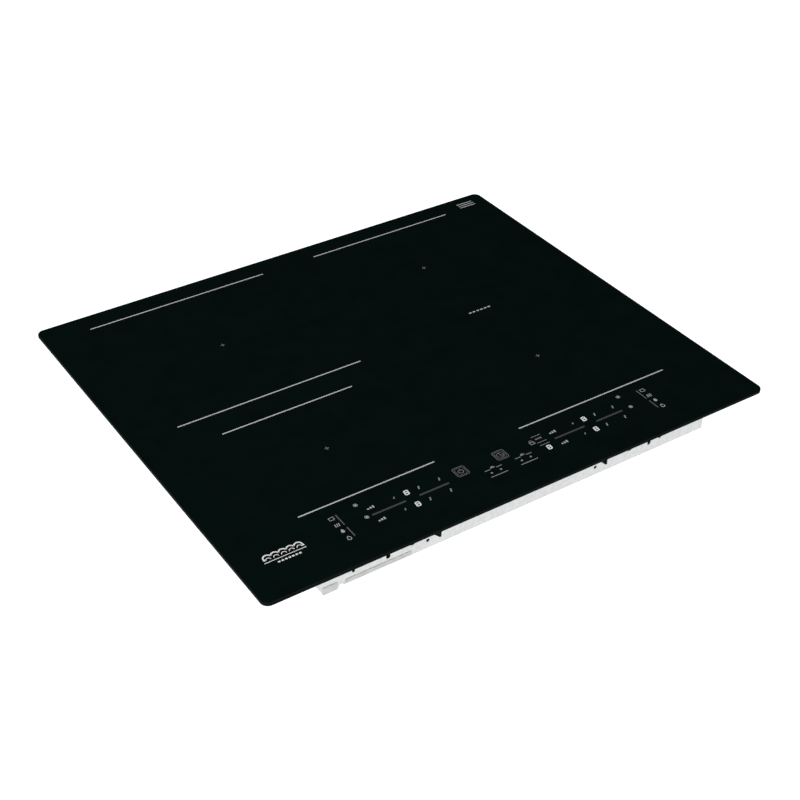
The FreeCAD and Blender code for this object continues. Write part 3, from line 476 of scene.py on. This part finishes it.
def print_sliders():
    """Each group's slider lines and the marks around them."""
    bars, marks, faint = Ink(), Ink(), Ink()
    for shift in (0.0, GROUP_SHIFT):
        for x0, x1 in SLIDERS_X:
            bars.bar(x0 + shift, SLIDER_Y, x1 + shift, SLIDER_Y, SLIDER_W)
        for y in DISPLAYS_Y:
            for n in range(3):
                x = LEVEL_X + n * LEVEL_PITCH + shift
                marks.bar(x, y - 1.6, x, y + 0.3 + n * LEVEL_GROWTH, LEVEL_W)
            for x in ZONE_MARKS_X:
                faint.bar(x + shift - 0.9, y - 2.1, x + shift + 0.9, y + 2.1, 1.5)
            x = SHORT_MARK_X + shift
            faint.bar(x - 0.7, y - 1.2, x + 0.7, y + 1.2, 1.2)
    for side in (-1, 1):
        for y in END_DOTS_Y:
            marks.dot(side * END_DOT_X, y, 1.2)
            marks.hoop(side * END_DOT_X, y, 2.0, 0.4)
    bars.piece("slider_bars", printed_ink("slider_ink", 0.03))
    marks.piece("level_marks", printed_ink("level_ink", 0.24))
    faint.piece("zone_marks", printed_ink("zone_mark_ink", 0.13))


def power(ink, x, y):
    """An open ring with a stroke in its gap."""
    ink.hoop(x, y, 2.6, 0.6, 120.0, 420.0)
    ink.bar(x, y + 0.4, x, y + 3.4, 0.6)


def clock(ink, x, y):
    """Two hands in a ring."""
    ink.bar(x, y - 0.4, x, y + 3.2, 0.7)
    ink.bar(x, y - 0.4, x + 2.6, y - 1.6, 0.7)
    ink.hoop(x, y - 0.2, 3.6, 0.4)


def dome(ink, x, y):
    """A dome between two strokes, with two dots and a line below it."""
    for side in (-1, 1):
        ink.bar(x + side * 10.0, y, x + side * 3.4, y, 0.9)
        ink.dot(x + side * 5.4, y - 5.2, 1.2)
    ink.plate(arc(x, y + 0.8, 2.6, 0, 180, 14))
    ink.bar(x - 10.0, y - 10.5, x + 10.0, y - 10.5, 1.0)


def lock(ink, x, y):
    """A closed padlock."""
    ink.rounded(x, y, 2.8, 2.2, 0.6, 1.0)
    ink.hoop(x, y + 2.2, 1.9, 0.6, 0.0, 180.0)


def print_keys():
    """The keys in the middle: power, clock, two keys with a dome, the lock, and the timer's lines."""
    frames, signs = Ink(), Ink()
    for draw, x in zip((power, clock), KEYS_X):
        frames.rounded(x, KEYS_Y, 7.0, 7.0, 2.6, 0.7)
        frames.rounded(x, KEYS_Y, 5.2, 5.2, 1.8, 0.5)
        draw(signs, x, KEYS_Y)
    for x in PAIR_KEYS_X:
        dome(signs, x, PAIR_KEYS_Y)
    lock(signs, LOCK_X, LOCK_Y)
    for y in TIMER_LINES_Y:
        signs.bar(TIMER_LINES_X[0], y, TIMER_LINES_X[1], y, 0.7)
    for n in range(4):
        x = TIMER_BARS_X0 + n * TIMER_BAR_PITCH
        signs.bar(x, TIMER_BARS_Y[0], x, TIMER_BARS_Y[1], 1.2)
    frames.piece("key_frames", printed_ink("frame_ink", 0.08))
    signs.piece("centre_keys", printed_ink("key_ink", 0.13))


# the seven strokes of a digit, as fractions of its half width and half height
ACROSS = ((-1, 1, 1, 1), (-1, 0, 1, 0), (-1, -1, 1, -1))
SEGMENTS = ACROSS + ((-1, 0, -1, 1), (1, 0, 1, 1), (-1, -1, -1, 0), (1, -1, 1, 0))


def light_digits():
    """Seven-segment digits that shine through the glass over the displays, all strokes lit."""
    ink = Ink()
    half_w, half_h, lean, width, gap = 1.9, 2.8, 0.10, 1.3, 0.95
    places = [(DISPLAY_X + shift, y) for shift in (0.0, GROUP_SHIFT) for y in DISPLAYS_Y]
    for x, y in places + [(TIMER_X, TIMER_Y)]:
        for x0, y0, x1, y1 in SEGMENTS:
            along_w = half_w * (gap if y0 == y1 else 1)
            bottom, top = y0 * half_h, y1 * half_h
            start_x, end_x = x + x0 * along_w + lean * bottom, x + x1 * along_w + lean * top
            ink.bar(start_x, y + bottom, end_x, y + top, width)
    ink.piece("lit_digits", lit_segments(), "display_plastic")


def corner_sign():
    """A plain coil sign in the front left corner: a row of half loops with two leads, over a thin line."""
    ink = Ink()
    pitch, first_x, y, line_y, dashes_y = 8.0, -263.2, -203.2, -208.6, -213.0
    for n in range(5):
        ink.hoop(first_x + n * pitch, y, pitch / 2, 1.5, 0.0, 180.0)
        ink.hoop(first_x + n * pitch, y - 2.6, pitch / 2 - 1.5, 0.8, 0.0, 180.0)
    for lead_x in (first_x - pitch / 2, first_x + 4.5 * pitch):
        ink.bar(lead_x, y + 0.2, lead_x, y - 2.6, 1.8)
    ink.bar(-269.0, line_y, -226.0, line_y, 0.8)
    for n in range(7):
        ink.bar(-257.6 + n * 3.6, dashes_y, -255.2 + n * 3.6, dashes_y, 1.8)
    ink.piece("corner_sign", printed_ink("sign_ink", 0.46))


def small_marks():
    """A short dashed line beside the right zones and three strokes in the back right corner."""
    ink = Ink()
    dashes_y = 28.9
    for n in range(6):
        ink.bar(123.0 + n * 5.0, dashes_y, 126.4 + n * 5.0, dashes_y, 1.8)
    for n in range(3):
        y = 232.8 + n * 4.2
        ink.bar(255.0, y, 277.0, y, 1.2)
    ink.piece("small_marks", printed_ink("mark_ink", 0.3))


# ---- Inside ----
BOARD_T = 1.6
BOARD_TOP = node_box("power_board_right")[0].z + BOARD_T
WINDING_LOW, WINDING_HIGH = (corner.z for corner in node_box("coil_winding_rear_left"))
LITZ_R = (WINDING_HIGH - WINDING_LOW) / 2 - 0.05
LITZ_PITCH, COIL_INNER_R = 4.0, 24.0
STRANDS, TWIST = 10, 22.0  # strands seen around a litz wire, and the length of one twist
LATHE_STEPS = 20

# the leaf springs: centres on each side of the middle, half the length, thickness
LEAVES_X, LEAVES_Y, LEAF_HALF, LEAF_T = (14.5, 234.0), (-144.0, 29.0, 205.0), 14.0, 0.45
KEY_SPRING_TURNS, KEY_SPRING_WIRE = 5, 0.28
# where the touch keys' springs stand, as in the CAD
SLIDER_SPRINGS_X, SLIDER_SPRINGS_Y = (-146.0, -133.0, -120.0, -93.0, -80.0, -71.0), -205.0
COLUMN_SPRINGS_Y = (-194.0, -216.0)
MIDDLE_SPRINGS = ((-47.0, -197.0), (0.0, -197.0), (-18.0, -212.0), (18.0, -212.0), (37.5, -197.5))

# centre x, centre y, ring radius and the radius of the wound ring's section
CHOKES = ((-2.0, 150.0, 18.0, 8.0), (95.0, -80.0, 13.0, 5.5), (-95.0, -80.0, 13.0, 5.5))
CHOKE_WIRE_R, CHOKE_OPEN_SHARE = 0.62, 0.94

# Small parts on the right half of the boards. The left half is its mirror image.
CHIPS_X, CHIPS_Y0, CHIP_PITCH, CHIP_ROWS = (69.0, 77.0), 8.0, 6.6, 9
CHIP_HALF_W, CHIP_D, CHIP_H = 2.2, 2.6, 1.3
DRIVER_X0, DRIVER_X1, DRIVERS_Y, DRIVER_D, DRIVER_H = 66.0, 79.0, (-46.0, -24.0, -2.0), 8.0, 2.4
PIN_COUNT, PIN_PITCH, PIN_W, PIN_L = 6, 2.0, 0.7, 1.2
POSTS_X, POSTS_Y = 107.0, (64.0, 72.0)
SMALL_DISCS_X, SMALL_DISCS_Y0, SMALL_DISC_PITCH = 109.0, -160.0, 14.0
LARGE_DISCS_X, LARGE_DISCS_Y0, LARGE_DISC_PITCH = 74.0, 116.0, 28.0
FAN_PLUG_X, FAN_PLUG_Y = (102.0, 113.0), (84.0, 92.0)
# a row of chips near the back edge of the filter board
FILTER_CHIPS_X0, FILTER_CHIP_PITCH, FILTER_CHIPS_Y = -22.0, 8.0, (184.0, 187.0)
# turned profiles, as (radius, height) from the bottom up
CONNECTOR_POST = ((0.2, 0.0), (2.6, 0.4), (2.9, 1.4), (2.9, 8.4), (2.5, 9.0), (0.2, 9.0))
SMALL_DISC = ((0.3, 0.0), (4.0, 0.5), (4.4, 1.2), (4.4, 2.4), (4.0, 3.1), (0.3, 3.6))
LARGE_DISC = ((0.4, 0.0), (5.6, 0.8), (6.2, 1.8), (6.2, 3.4), (5.6, 4.4), (0.4, 5.0))
SCREW_HEAD = ((0.2, 0.0), (2.7, 0.0), (2.9, 0.4), (2.6, 1.3), (1.5, 1.8), (0.2, 1.8))

LEAD_R, FAN_LEAD_R, CORE_R = 1.3, 0.8, 0.8
WIRE_GLOSS = (0.35, 0.45)
PLUG_H = 6.0
CABLE_X0, CABLE_X1, CORE_PITCH, CORES = 41.0, 55.5, 1.5, 8


class Solids:
    """Closed solids in millimetres, gathered into one mesh."""

    def __init__(self):
        self.shape = bmesh.new()
        self.phase = self.shape.verts.layers.float.new("phase")

    def block(self, x0, x1, y0, y1, z0, z1, edge=0.3):
        """A block with rounded edges."""
        middle = Vector((x0 + x1, y0 + y1, z0 + z1)) / 2
        place = Matrix.Translation(middle) @ Matrix.Diagonal((x1 - x0, y1 - y0, z1 - z0, 1.0))
        corners = bmesh.ops.create_cube(self.shape, size=1.0, matrix=place)["verts"]
        edges = list(dict.fromkeys(e for corner in corners for e in corner.link_edges))
        bmesh.ops.bevel(self.shape, geom=edges, offset=edge, segments=2, affect="EDGES")

    def skin(self, rows):
        """Joins rings of corners, each with the same count, and closes both ends."""
        for one, other in zip(rows, rows[1:]):
            for n, corner in enumerate(one):
                m = (n + 1) % len(one)
                self.shape.faces.new((corner, one[m], other[m], other[n]))
        self.shape.faces.new(rows[0][::-1])
        self.shape.faces.new(rows[-1])

    def lathe(self, profile, place):
        """A turned solid. The profile is (radius, height) from the bottom up; place takes it to the hob."""
        rows = []
        for radius, height in profile:
            circle = arc(0.0, 0.0, radius, 0, 360, LATHE_STEPS)[:-1]
            rows.append([self.shape.verts.new(place @ Vector((x, y, height))) for x, y in circle])
        self.skin(rows)

    def tube(self, points, radius, sides=8):
        """A wire along points. Each corner keeps its place in the twist of the strands."""
        points = [Vector(p) for p in points]
        across = (points[1] - points[0]).orthogonal()
        rows, length = [], 0.0
        for n, point in enumerate(points):
            before, after = points[max(n - 1, 0)], points[min(n + 1, len(points) - 1)]
            along = (after - before).normalized()
            across = (across - along * across.dot(along)).normalized()
            other = along.cross(across)
            length += (point - before).length
            row = []
            for k in range(sides):
                angle = 2 * math.pi * k / sides
                offset = across * math.cos(angle) + other * math.sin(angle)
                corner = self.shape.verts.new(point + offset * radius)
                corner[self.phase] = STRANDS * (k / sides + length / TWIST)
                row.append(corner)
            rows.append(row)
        self.skin(rows)

    def piece(self, name, material, slot, body="casing"):
        """The finished piece, in metres, with sharp edges kept and the rest shaded smooth."""
        bmesh.ops.recalc_face_normals(self.shape, faces=self.shape.faces)
        bmesh.ops.scale(self.shape, vec=(MM, MM, MM), verts=self.shape.verts)
        mesh = bpy.data.meshes.new(name)
        self.shape.to_mesh(mesh)
        self.shape.free()
        mesh.shade_smooth()
        made = placed(name, mesh, material, body)
        crease = made.modifiers.new("crease", "EDGE_SPLIT")
        crease.split_angle = math.radians(50)
        return made


def upright(x, y, z):
    return Matrix.Translation((x, y, z))


def litz():
    """Enamelled strands that wind around each other, with painted shade in the grooves between them and a
    painted highlight on each strand's crown.
    """
    finish = Finish("litz_wire", metallic=1.0)
    place = finish.tree.nodes.new("ShaderNodeAttribute")
    place.attribute_name = "phase"
    turn = finish.tree.nodes.new("ShaderNodeMath")
    turn.operation = "MULTIPLY"
    turn.inputs[1].default_value = 2 * math.pi
    wire(finish.tree, place.outputs["Fac"], turn.inputs[0])
    strand = finish.tree.nodes.new("ShaderNodeMath")
    strand.operation = "SINE"
    wire(finish.tree, turn.outputs["Value"], strand.inputs[0])
    height = finish.scaled(strand.outputs["Value"], 0.0, 1.0, -1.0, 1.0)
    # painted shade and highlight: the copper colour goes near black in the grooves between strands and
    # lighter on their crowns
    finish.colour(height, (0.0, (0.16, 0.05, 0.02)), (0.6, (0.62, 0.25, 0.11)), (1.0, (0.75, 0.34, 0.17)))
    finish.gloss(finish.noise(300.0), 0.28, 0.42)
    return finish.relief(height, 0.35, 0.8).material


def wind_coil(place, body, material):
    """One coil: a flat spiral of litz wire from the hub to the rim."""
    low, high = node_box(f"coil_winding_{place}")
    x, y = (low.x + high.x) / 2, (low.y + high.y) / 2
    inner_r, outer_r = COIL_INNER_R + LITZ_PITCH / 2, (high.x - low.x) / 2 - LITZ_PITCH / 2
    turns = (outer_r - inner_r) / LITZ_PITCH
    steps = int(turns * 72)
    z = (WINDING_LOW + WINDING_HIGH) / 2
    points = []
    for n in range(steps + 1):
        angle = 2 * math.pi * turns * n / steps
        radius = inner_r + (outer_r - inner_r) * n / steps
        points.append((x + radius * math.cos(angle), y + radius * math.sin(angle), z))
    coil = Solids()
    coil.tube(points, LITZ_R, 10)
    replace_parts(coil.piece(f"litz_spiral_{place}", material, "copper", body), f"coil_winding_{place}")


def wind_coils():
    material = litz()
    for side in ("left", "right"):
        for end in ("rear", "front"):
            wind_coil(f"{end}_{side}", f"coil_deck_{side}", material)


def touch_springs():
    """Barrel springs between the control board and the glass."""
    low, high = node_box("touch_springs")
    springs = Solids()
    z0, z1, steps = low.z + 0.3, high.z - 0.3, 90
    for x, y in key_places():
        points = []
        for n in range(steps + 1):
            share = n / steps
            radius = 2.3 + 1.0 * math.sin(math.pi * share)
            angle = 2 * math.pi * KEY_SPRING_TURNS * share
            height = z0 + (z1 - z0) * share
            points.append((x + radius * math.cos(angle), y + radius * math.sin(angle), height))
        springs.tube(points, KEY_SPRING_WIRE, 6)
    material = brushed("bright_spring", (0.62, 0.62, 0.64))
    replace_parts(springs.piece("barrel_springs", material, "spring_steel"), "touch_springs")


def key_places():
    """The touch keys' centres."""
    places = []
    for shift in (0.0, GROUP_SHIFT):
        places += [(x + shift, SLIDER_SPRINGS_Y) for x in SLIDER_SPRINGS_X]
    places += [(side * COLUMN_X, y) for side in (-1, 1) for y in COLUMN_SPRINGS_Y]
    return places + list(MIDDLE_SPRINGS)


def leaf_springs():
    """Arched leaves under the coil plates, narrow in the middle."""
    low, high = node_box("plate_springs")
    rise = high.z - low.z
    for side, side_name in ((-1, "left"), (1, "right")):
        leaves = Solids()
        for x in LEAVES_X:
            for y in LEAVES_Y:
                rows = []
                for n in range(-10, 11):
                    share = n / 10
                    top = low.z + LEAF_T + (rise - LEAF_T) * (1 - share * share)
                    bottom, wide = top - LEAF_T, 2.4 + 1.1 * abs(share)
                    section = ((-wide, bottom), (wide, bottom), (wide, top), (-wide, top))
                    place = [(side * x + dx, y + share * LEAF_HALF, z) for dx, z in section]
                    rows.append([leaves.shape.verts.new(corner) for corner in place])
                leaves.skin(rows)
        piece = leaves.piece(f"leaf_springs_{side_name}", FINISHES["spring_steel"], "spring_steel")
        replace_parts(piece, "plate_springs")
        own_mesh(piece)


def choke_core(cores, centre, ring_r, core_r):
    """A ring with a round section."""
    around, across = 48, 14
    ring = []
    for n in range(around):
        angle = 2 * math.pi * n / around
        out = Vector((math.cos(angle), math.sin(angle), 0.0))
        row = []
        for k in range(across):
            tilt = 2 * math.pi * k / across
            point = centre + out * (ring_r + core_r * math.cos(tilt))
            row.append(cores.shape.verts.new(point + Vector((0, 0, core_r * math.sin(tilt)))))
        ring.append(row)
    for one, other in zip(ring, ring[1:] + ring[:1]):
        for k in range(across):
            m = (k + 1) % across
            cores.shape.faces.new((one[k], other[k], other[m], one[m]))


def choke_winding(windings, centre, ring_r, tube_r):
    """One layer of wire around the ring, close together on its inside."""
    turns = int(2 * math.pi * (ring_r - tube_r) / (2.15 * CHOKE_WIRE_R))
    steps = turns * 16
    points = []
    for n in range(steps + 1):
        angle = 2 * math.pi * CHOKE_OPEN_SHARE * n / steps
        tilt = 2 * math.pi * turns * n / steps
        reach = ring_r + (tube_r - CHOKE_WIRE_R) * math.cos(tilt)
        height = (tube_r - CHOKE_WIRE_R) * math.sin(tilt)
        points.append(centre + Vector((reach * math.cos(angle), reach * math.sin(angle), height)))
    windings.tube(points, CHOKE_WIRE_R, 6)


def wind_chokes():
    """Ring chokes: a dark core under one layer of copper wire."""
    cores, windings = Solids(), Solids()
    for x, y, ring_r, tube_r in CHOKES:
        centre = Vector((x, y, BOARD_TOP + tube_r))
        choke_core(cores, centre, ring_r, tube_r - 2 * CHOKE_WIRE_R - 0.1)
        choke_winding(windings, centre, ring_r, tube_r)
    core = cores.piece("choke_cores", FINISHES["ferrite"], "ferrite")
    coil = windings.piece("choke_windings", FINISHES["copper"], "copper")
    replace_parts(core, "chokes")
    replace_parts(coil, "chokes")


def on_side(side, x0, x1):
    """Two places along x, mirrored where side is -1, in rising order."""
    return sorted((side * x0, side * x1))


def chips(dark, metal, side):
    """Two columns of small chips, each with a contact at both ends."""
    top = BOARD_TOP
    for n in range(CHIP_ROWS):
        y = CHIPS_Y0 + n * CHIP_PITCH
        for x in CHIPS_X:
            x0, x1 = on_side(side, x - CHIP_HALF_W, x + CHIP_HALF_W)
            dark.block(x0, x1, y, y + CHIP_D, top, top + CHIP_H, 0.15)
            for end0, end1 in ((x0 - 0.7, x0 + 0.2), (x1 - 0.2, x1 + 0.7)):
                metal.block(end0, end1, y + 0.3, y + CHIP_D - 0.3, top, top + 0.9, 0.1)


def drivers(dark, metal, side):
    """Wide chips with a row of pins along both long edges."""
    top = BOARD_TOP
    x0, x1 = on_side(side, DRIVER_X0, DRIVER_X1)
    for y in DRIVERS_Y:
        dark.block(x0, x1, y, y + DRIVER_D, top, top + DRIVER_H, 0.2)
        for k in range(PIN_COUNT):
            pin = x0 + 1.2 + k * PIN_PITCH
            for y0 in (y - PIN_L, y + DRIVER_D):
                metal.block(pin, pin + PIN_W, y0, y0 + PIN_L, top, top + 1.2, 0.1)


def board_parts():
    """Small parts on the power boards and the filter board, one piece for each material."""
    dark, metal, tan, blue = Solids(), Solids(), Solids(), Solids()
    top = BOARD_TOP
    for side in (-1, 1):
        chips(dark, metal, side)
        drivers(dark, metal, side)
        for y in POSTS_Y:
            tan.lathe(CONNECTOR_POST, upright(side * POSTS_X, y, top))
        x0, x1 = on_side(side, *FAN_PLUG_X)
        tan.block(x0, x1, *FAN_PLUG_Y, top, top + PLUG_H, 0.3)
        for n in range(4):
            y = SMALL_DISCS_Y0 + n * SMALL_DISC_PITCH
            blue.lathe(SMALL_DISC, upright(side * SMALL_DISCS_X, y, top))
        for n in range(3):
            y = LARGE_DISCS_Y0 + n * LARGE_DISC_PITCH
            blue.lathe(LARGE_DISC, upright(side * LARGE_DISCS_X, y, top))
    for n in range(6):
        x = FILTER_CHIPS_X0 + n * FILTER_CHIP_PITCH
        dark.block(x, x + 4.4, *FILTER_CHIPS_Y, top, top + 1.4, 0.15)
    dark.piece("small_chips", FINISHES["black_plastic"], "black_plastic")
    metal.piece("chip_pins", FINISHES["screw_steel"], "screw_steel")
    tan.piece("connectors", FINISHES["terminal_plastic"], "terminal_plastic")
    blue.piece("suppressor_discs", FINISHES["relay_plastic"], "relay_plastic")


def transistor_screws():
    """A screw through each transistor into its heat sink."""
    low = node_box("heat_sink_right")[0]
    heads = Solids()
    first, pitch = 20.0, 36.0
    for n in range(5):
        y, z = low.y + first + n * pitch, BOARD_TOP + 15.0
        for side in (-1, 1):
            x = side * (low.x - 5.0)
            turn = Matrix.Rotation(math.radians(-side * 90.0), 4, "Y")
            heads.lathe(SCREW_HEAD, upright(x, y, z) @ turn)
    heads.piece("transistor_screws", FINISHES["screw_steel"], "screw_steel")


def smooth_path(points, steps=10):
    """Points on one smooth curve through the given ones."""
    ends = [Vector(p) for p in (points[0], *points, points[-1])]
    path = []
    for a, b, c, d in zip(ends, ends[1:], ends[2:], ends[3:]):
        squared, cubed = 2 * a - 5 * b + 4 * c - d, 3 * b - a - 3 * c + d
        for n in range(steps):
            t = n / steps
            path.append((2 * b + (c - a) * t + squared * t**2 + cubed * t**3) / 2)
    return path + [ends[-1]]


def board_leads():
    """A live and a neutral lead from the filter board to each power board."""
    brown, blue = Solids(), Solids()
    top = BOARD_TOP
    for side in (-1, 1):
        for x, solids in ((66.0, brown), (86.0, blue)):
            route = ((110.0, top + 0.4), (109.6, top + 6.0), (104.0, 25.0), (92.0, 26.0))
            route += ((83.0, 23.0), (82.0, top + 8.8))
            solids.tube(smooth_path([(side * x, y, z) for y, z in route]), LEAD_R)
    brown.piece("live_leads", grained("brown_wire", (0.16, 0.07, 0.03), rough=WIRE_GLOSS), "cover_plastic")
    blue.piece("neutral_leads", grained("blue_wire", (0.03, 0.10, 0.35), rough=WIRE_GLOSS), "relay_plastic")


def fan_leads():
    """Two thin wires from each fan to a connector on its power board."""
    black = Solids()
    for side in (-1, 1):
        for dx in (0.0, 2.6):
            route = ((118.6, 142.0 + dx, 21.0), (114.0, 140.0 + dx, 20.6), (111.0 - dx, 122.0, 20.0))
            route += ((106.0 + dx, 98.0, 20.0), (106.0 + dx, 89.0, 18.6))
            route += ((106.0 + dx, 88.0, BOARD_TOP + 5.8),)
            black.tube(smooth_path([(side * x, y, z) for x, y, z in route]), FAN_LEAD_R)
    black.piece("fan_leads", grained("black_wire", (0.02, 0.02, 0.02), rough=WIRE_GLOSS), "black_plastic")


def flat_cable():
    """The ribbon from the control board down to the right power board, with a plug at each end."""
    grey = Solids()
    top, tray_low = BOARD_TOP, node_box("control_carrier")[0].z
    for n in range(CORES):
        x = CABLE_X0 + 2.0 + n * CORE_PITCH
        route = ((-183.0, tray_low - 5.4), (-182.6, 26.0), (-172.0, 19.0), (-164.4, 18.4))
        route += ((-164.0, top + 5.8),)
        grey.tube(smooth_path([(x, y, z) for y, z in route]), CORE_R)
    grey.block(CABLE_X0, CABLE_X1, -186.0, -180.0, tray_low - PLUG_H, tray_low, 0.3)
    grey.block(CABLE_X0, CABLE_X1, -167.0, -161.0, top, top + PLUG_H, 0.3)
    grey.piece("flat_cable", grained("grey_ribbon", (0.30, 0.31, 0.32), rough=(0.4, 0.5)), "foot_plastic")


def data_plate():
    """A blank foil plate on the rear wall, with an embossed border."""
    wall_y = node_box("cable_entry")[1].y - 6.0  # the bush stands 6 mm out of the wall
    plate = Solids()
    x0, x1, z0, z1 = -116.0, -64.0, 9.0, 29.0
    plate.block(x0, x1, wall_y, wall_y + 0.25, z0, z1, 0.08)
    border0, border1 = wall_y + 0.2, wall_y + 0.35
    for low, high in ((z0 + 1, z0 + 1.5), (z1 - 1.5, z1 - 1)):
        plate.block(x0 + 1, x1 - 1, border0, border1, low, high, 0.05)
    for left, right in ((x0 + 1, x0 + 1.5), (x1 - 1.5, x1 - 1)):
        plate.block(left, right, border0, border1, z0 + 1, z1 - 1, 0.05)
    plate.piece("data_plate", brushed("foil", (0.78, 0.78, 0.79)), "plate_aluminium")


# ---- Studio (metres) ----
FLOOR_HALF = 30.0
ROOM_WHITE, ROOM_DARK = (1.0, 1.0, 1.0, 1.0), (0.018, 0.018, 0.019, 1.0)
WHITE_UP_TO, DARK_FROM = 0.08, 0.36  # heights over the horizon, as shares of straight up
LENS_MM, SENSOR_MM, ROLL_DEGREES = 67.4993, 36.0, 0.265
CAMERA_PLACE, CAMERA_TARGET = (-0.71730, -1.10328, 0.95145), (-0.030149, -0.064142, 0.052)


def floor():
    """A plain floor that glows, so that it stays white in the picture."""
    z = CAD_BOX[0][2] - 0.0005
    corners = [(x * FLOOR_HALF, y * FLOOR_HALF, z) for x, y in ((-1, -1), (1, -1), (1, 1), (-1, 1))]
    mesh = bpy.data.meshes.new("floor")
    mesh.from_pydata(corners, [], [(0, 1, 2, 3)])
    piece = bpy.data.objects.new("floor", mesh)
    bpy.context.scene.collection.objects.link(piece)
    finish = Finish("floor_white", Roughness=0.9, Specular_IOR_Level=0.1, Emission_Strength=0.97)
    finish.shader.inputs["Emission Color"].default_value = ROOM_WHITE
    finish.shade(finish.noise(3.0), (0.20, 0.20, 0.20), 0.02)
    piece.data.materials.append(finish.material)


def area_light(name, place, size, watts):
    """A soft box that faces the middle of the hob."""
    light = bpy.data.lights.new(name, "AREA")
    light.size = size
    light.energy = watts
    lamp = bpy.data.objects.new(name, light)
    lamp.location = place
    lamp.rotation_euler = (-Vector(place)).to_track_quat("-Z", "Y").to_euler()
    bpy.context.scene.collection.objects.link(lamp)


def room():
    """White where the camera sees it. In reflections and as light, it is dark higher up."""
    world = bpy.data.worlds.new("studio")
    bpy.context.scene.world = world
    world.use_nodes = True
    tree = world.node_tree
    place = tree.nodes.new("ShaderNodeTexCoord")
    height = tree.nodes.new("ShaderNodeSeparateXYZ")
    wire(tree, place.outputs["Generated"], height.inputs["Vector"])
    ramp = tree.nodes.new("ShaderNodeValToRGB")
    for element, share, colour in zip(
        ramp.color_ramp.elements, (WHITE_UP_TO, DARK_FROM), (ROOM_WHITE, ROOM_DARK)
    ):
        element.position = share
        element.color = colour
    wire(tree, height.outputs["Z"], ramp.inputs["Fac"])
    seen = tree.nodes.new("ShaderNodeLightPath")
    backdrop = tree.nodes.new("ShaderNodeMixRGB")
    backdrop.inputs["Color2"].default_value = ROOM_WHITE
    wire(tree, seen.outputs["Is Camera Ray"], backdrop.inputs["Fac"])
    wire(tree, ramp.outputs["Color"], backdrop.inputs["Color1"])
    wire(tree, backdrop.outputs["Color"], tree.nodes["Background"].inputs["Color"])


def studio():
    """Soft boxes in front, above and at the left, and the room around them."""
    area_light("key", (-1.9, -2.3, 2.2), 2.0, 90.0)
    area_light("fill", (0.8, -1.0, 3.2), 1.0, 30.0)
    area_light("top", (0.0, 0.0, 3.2), 2.4, 60.0)
    area_light("side", (-2.8, 0.2, 1.3), 1.0, 55.0)
    room()
    bpy.context.scene.view_settings.view_transform = "Standard"


def camera():
    """Looks down at the hob from the front left."""
    data = bpy.data.cameras.new("camera")
    data.lens = LENS_MM
    data.sensor_width = SENSOR_MM
    lens = bpy.data.objects.new("camera", data)
    lens.location = CAMERA_PLACE
    aim = (Vector(CAMERA_TARGET) - lens.location).to_track_quat("-Z", "Y")
    roll = Quaternion((0.0, 0.0, 1.0), math.radians(ROLL_DEGREES))
    lens.rotation_mode = "QUATERNION"
    lens.rotation_quaternion = aim @ roll
    bpy.context.scene.collection.objects.link(lens)
    bpy.context.scene.camera = lens


paint_frame()
print_zones()
print_zone_centres()
print_columns()
print_sliders()
print_keys()
light_digits()
corner_sign()
small_marks()
wind_coils()
leaf_springs()
touch_springs()
wind_chokes()
board_parts()
transistor_screws()
board_leads()
fan_leads()
flat_cable()
data_plate()
floor()
studio()
camera()
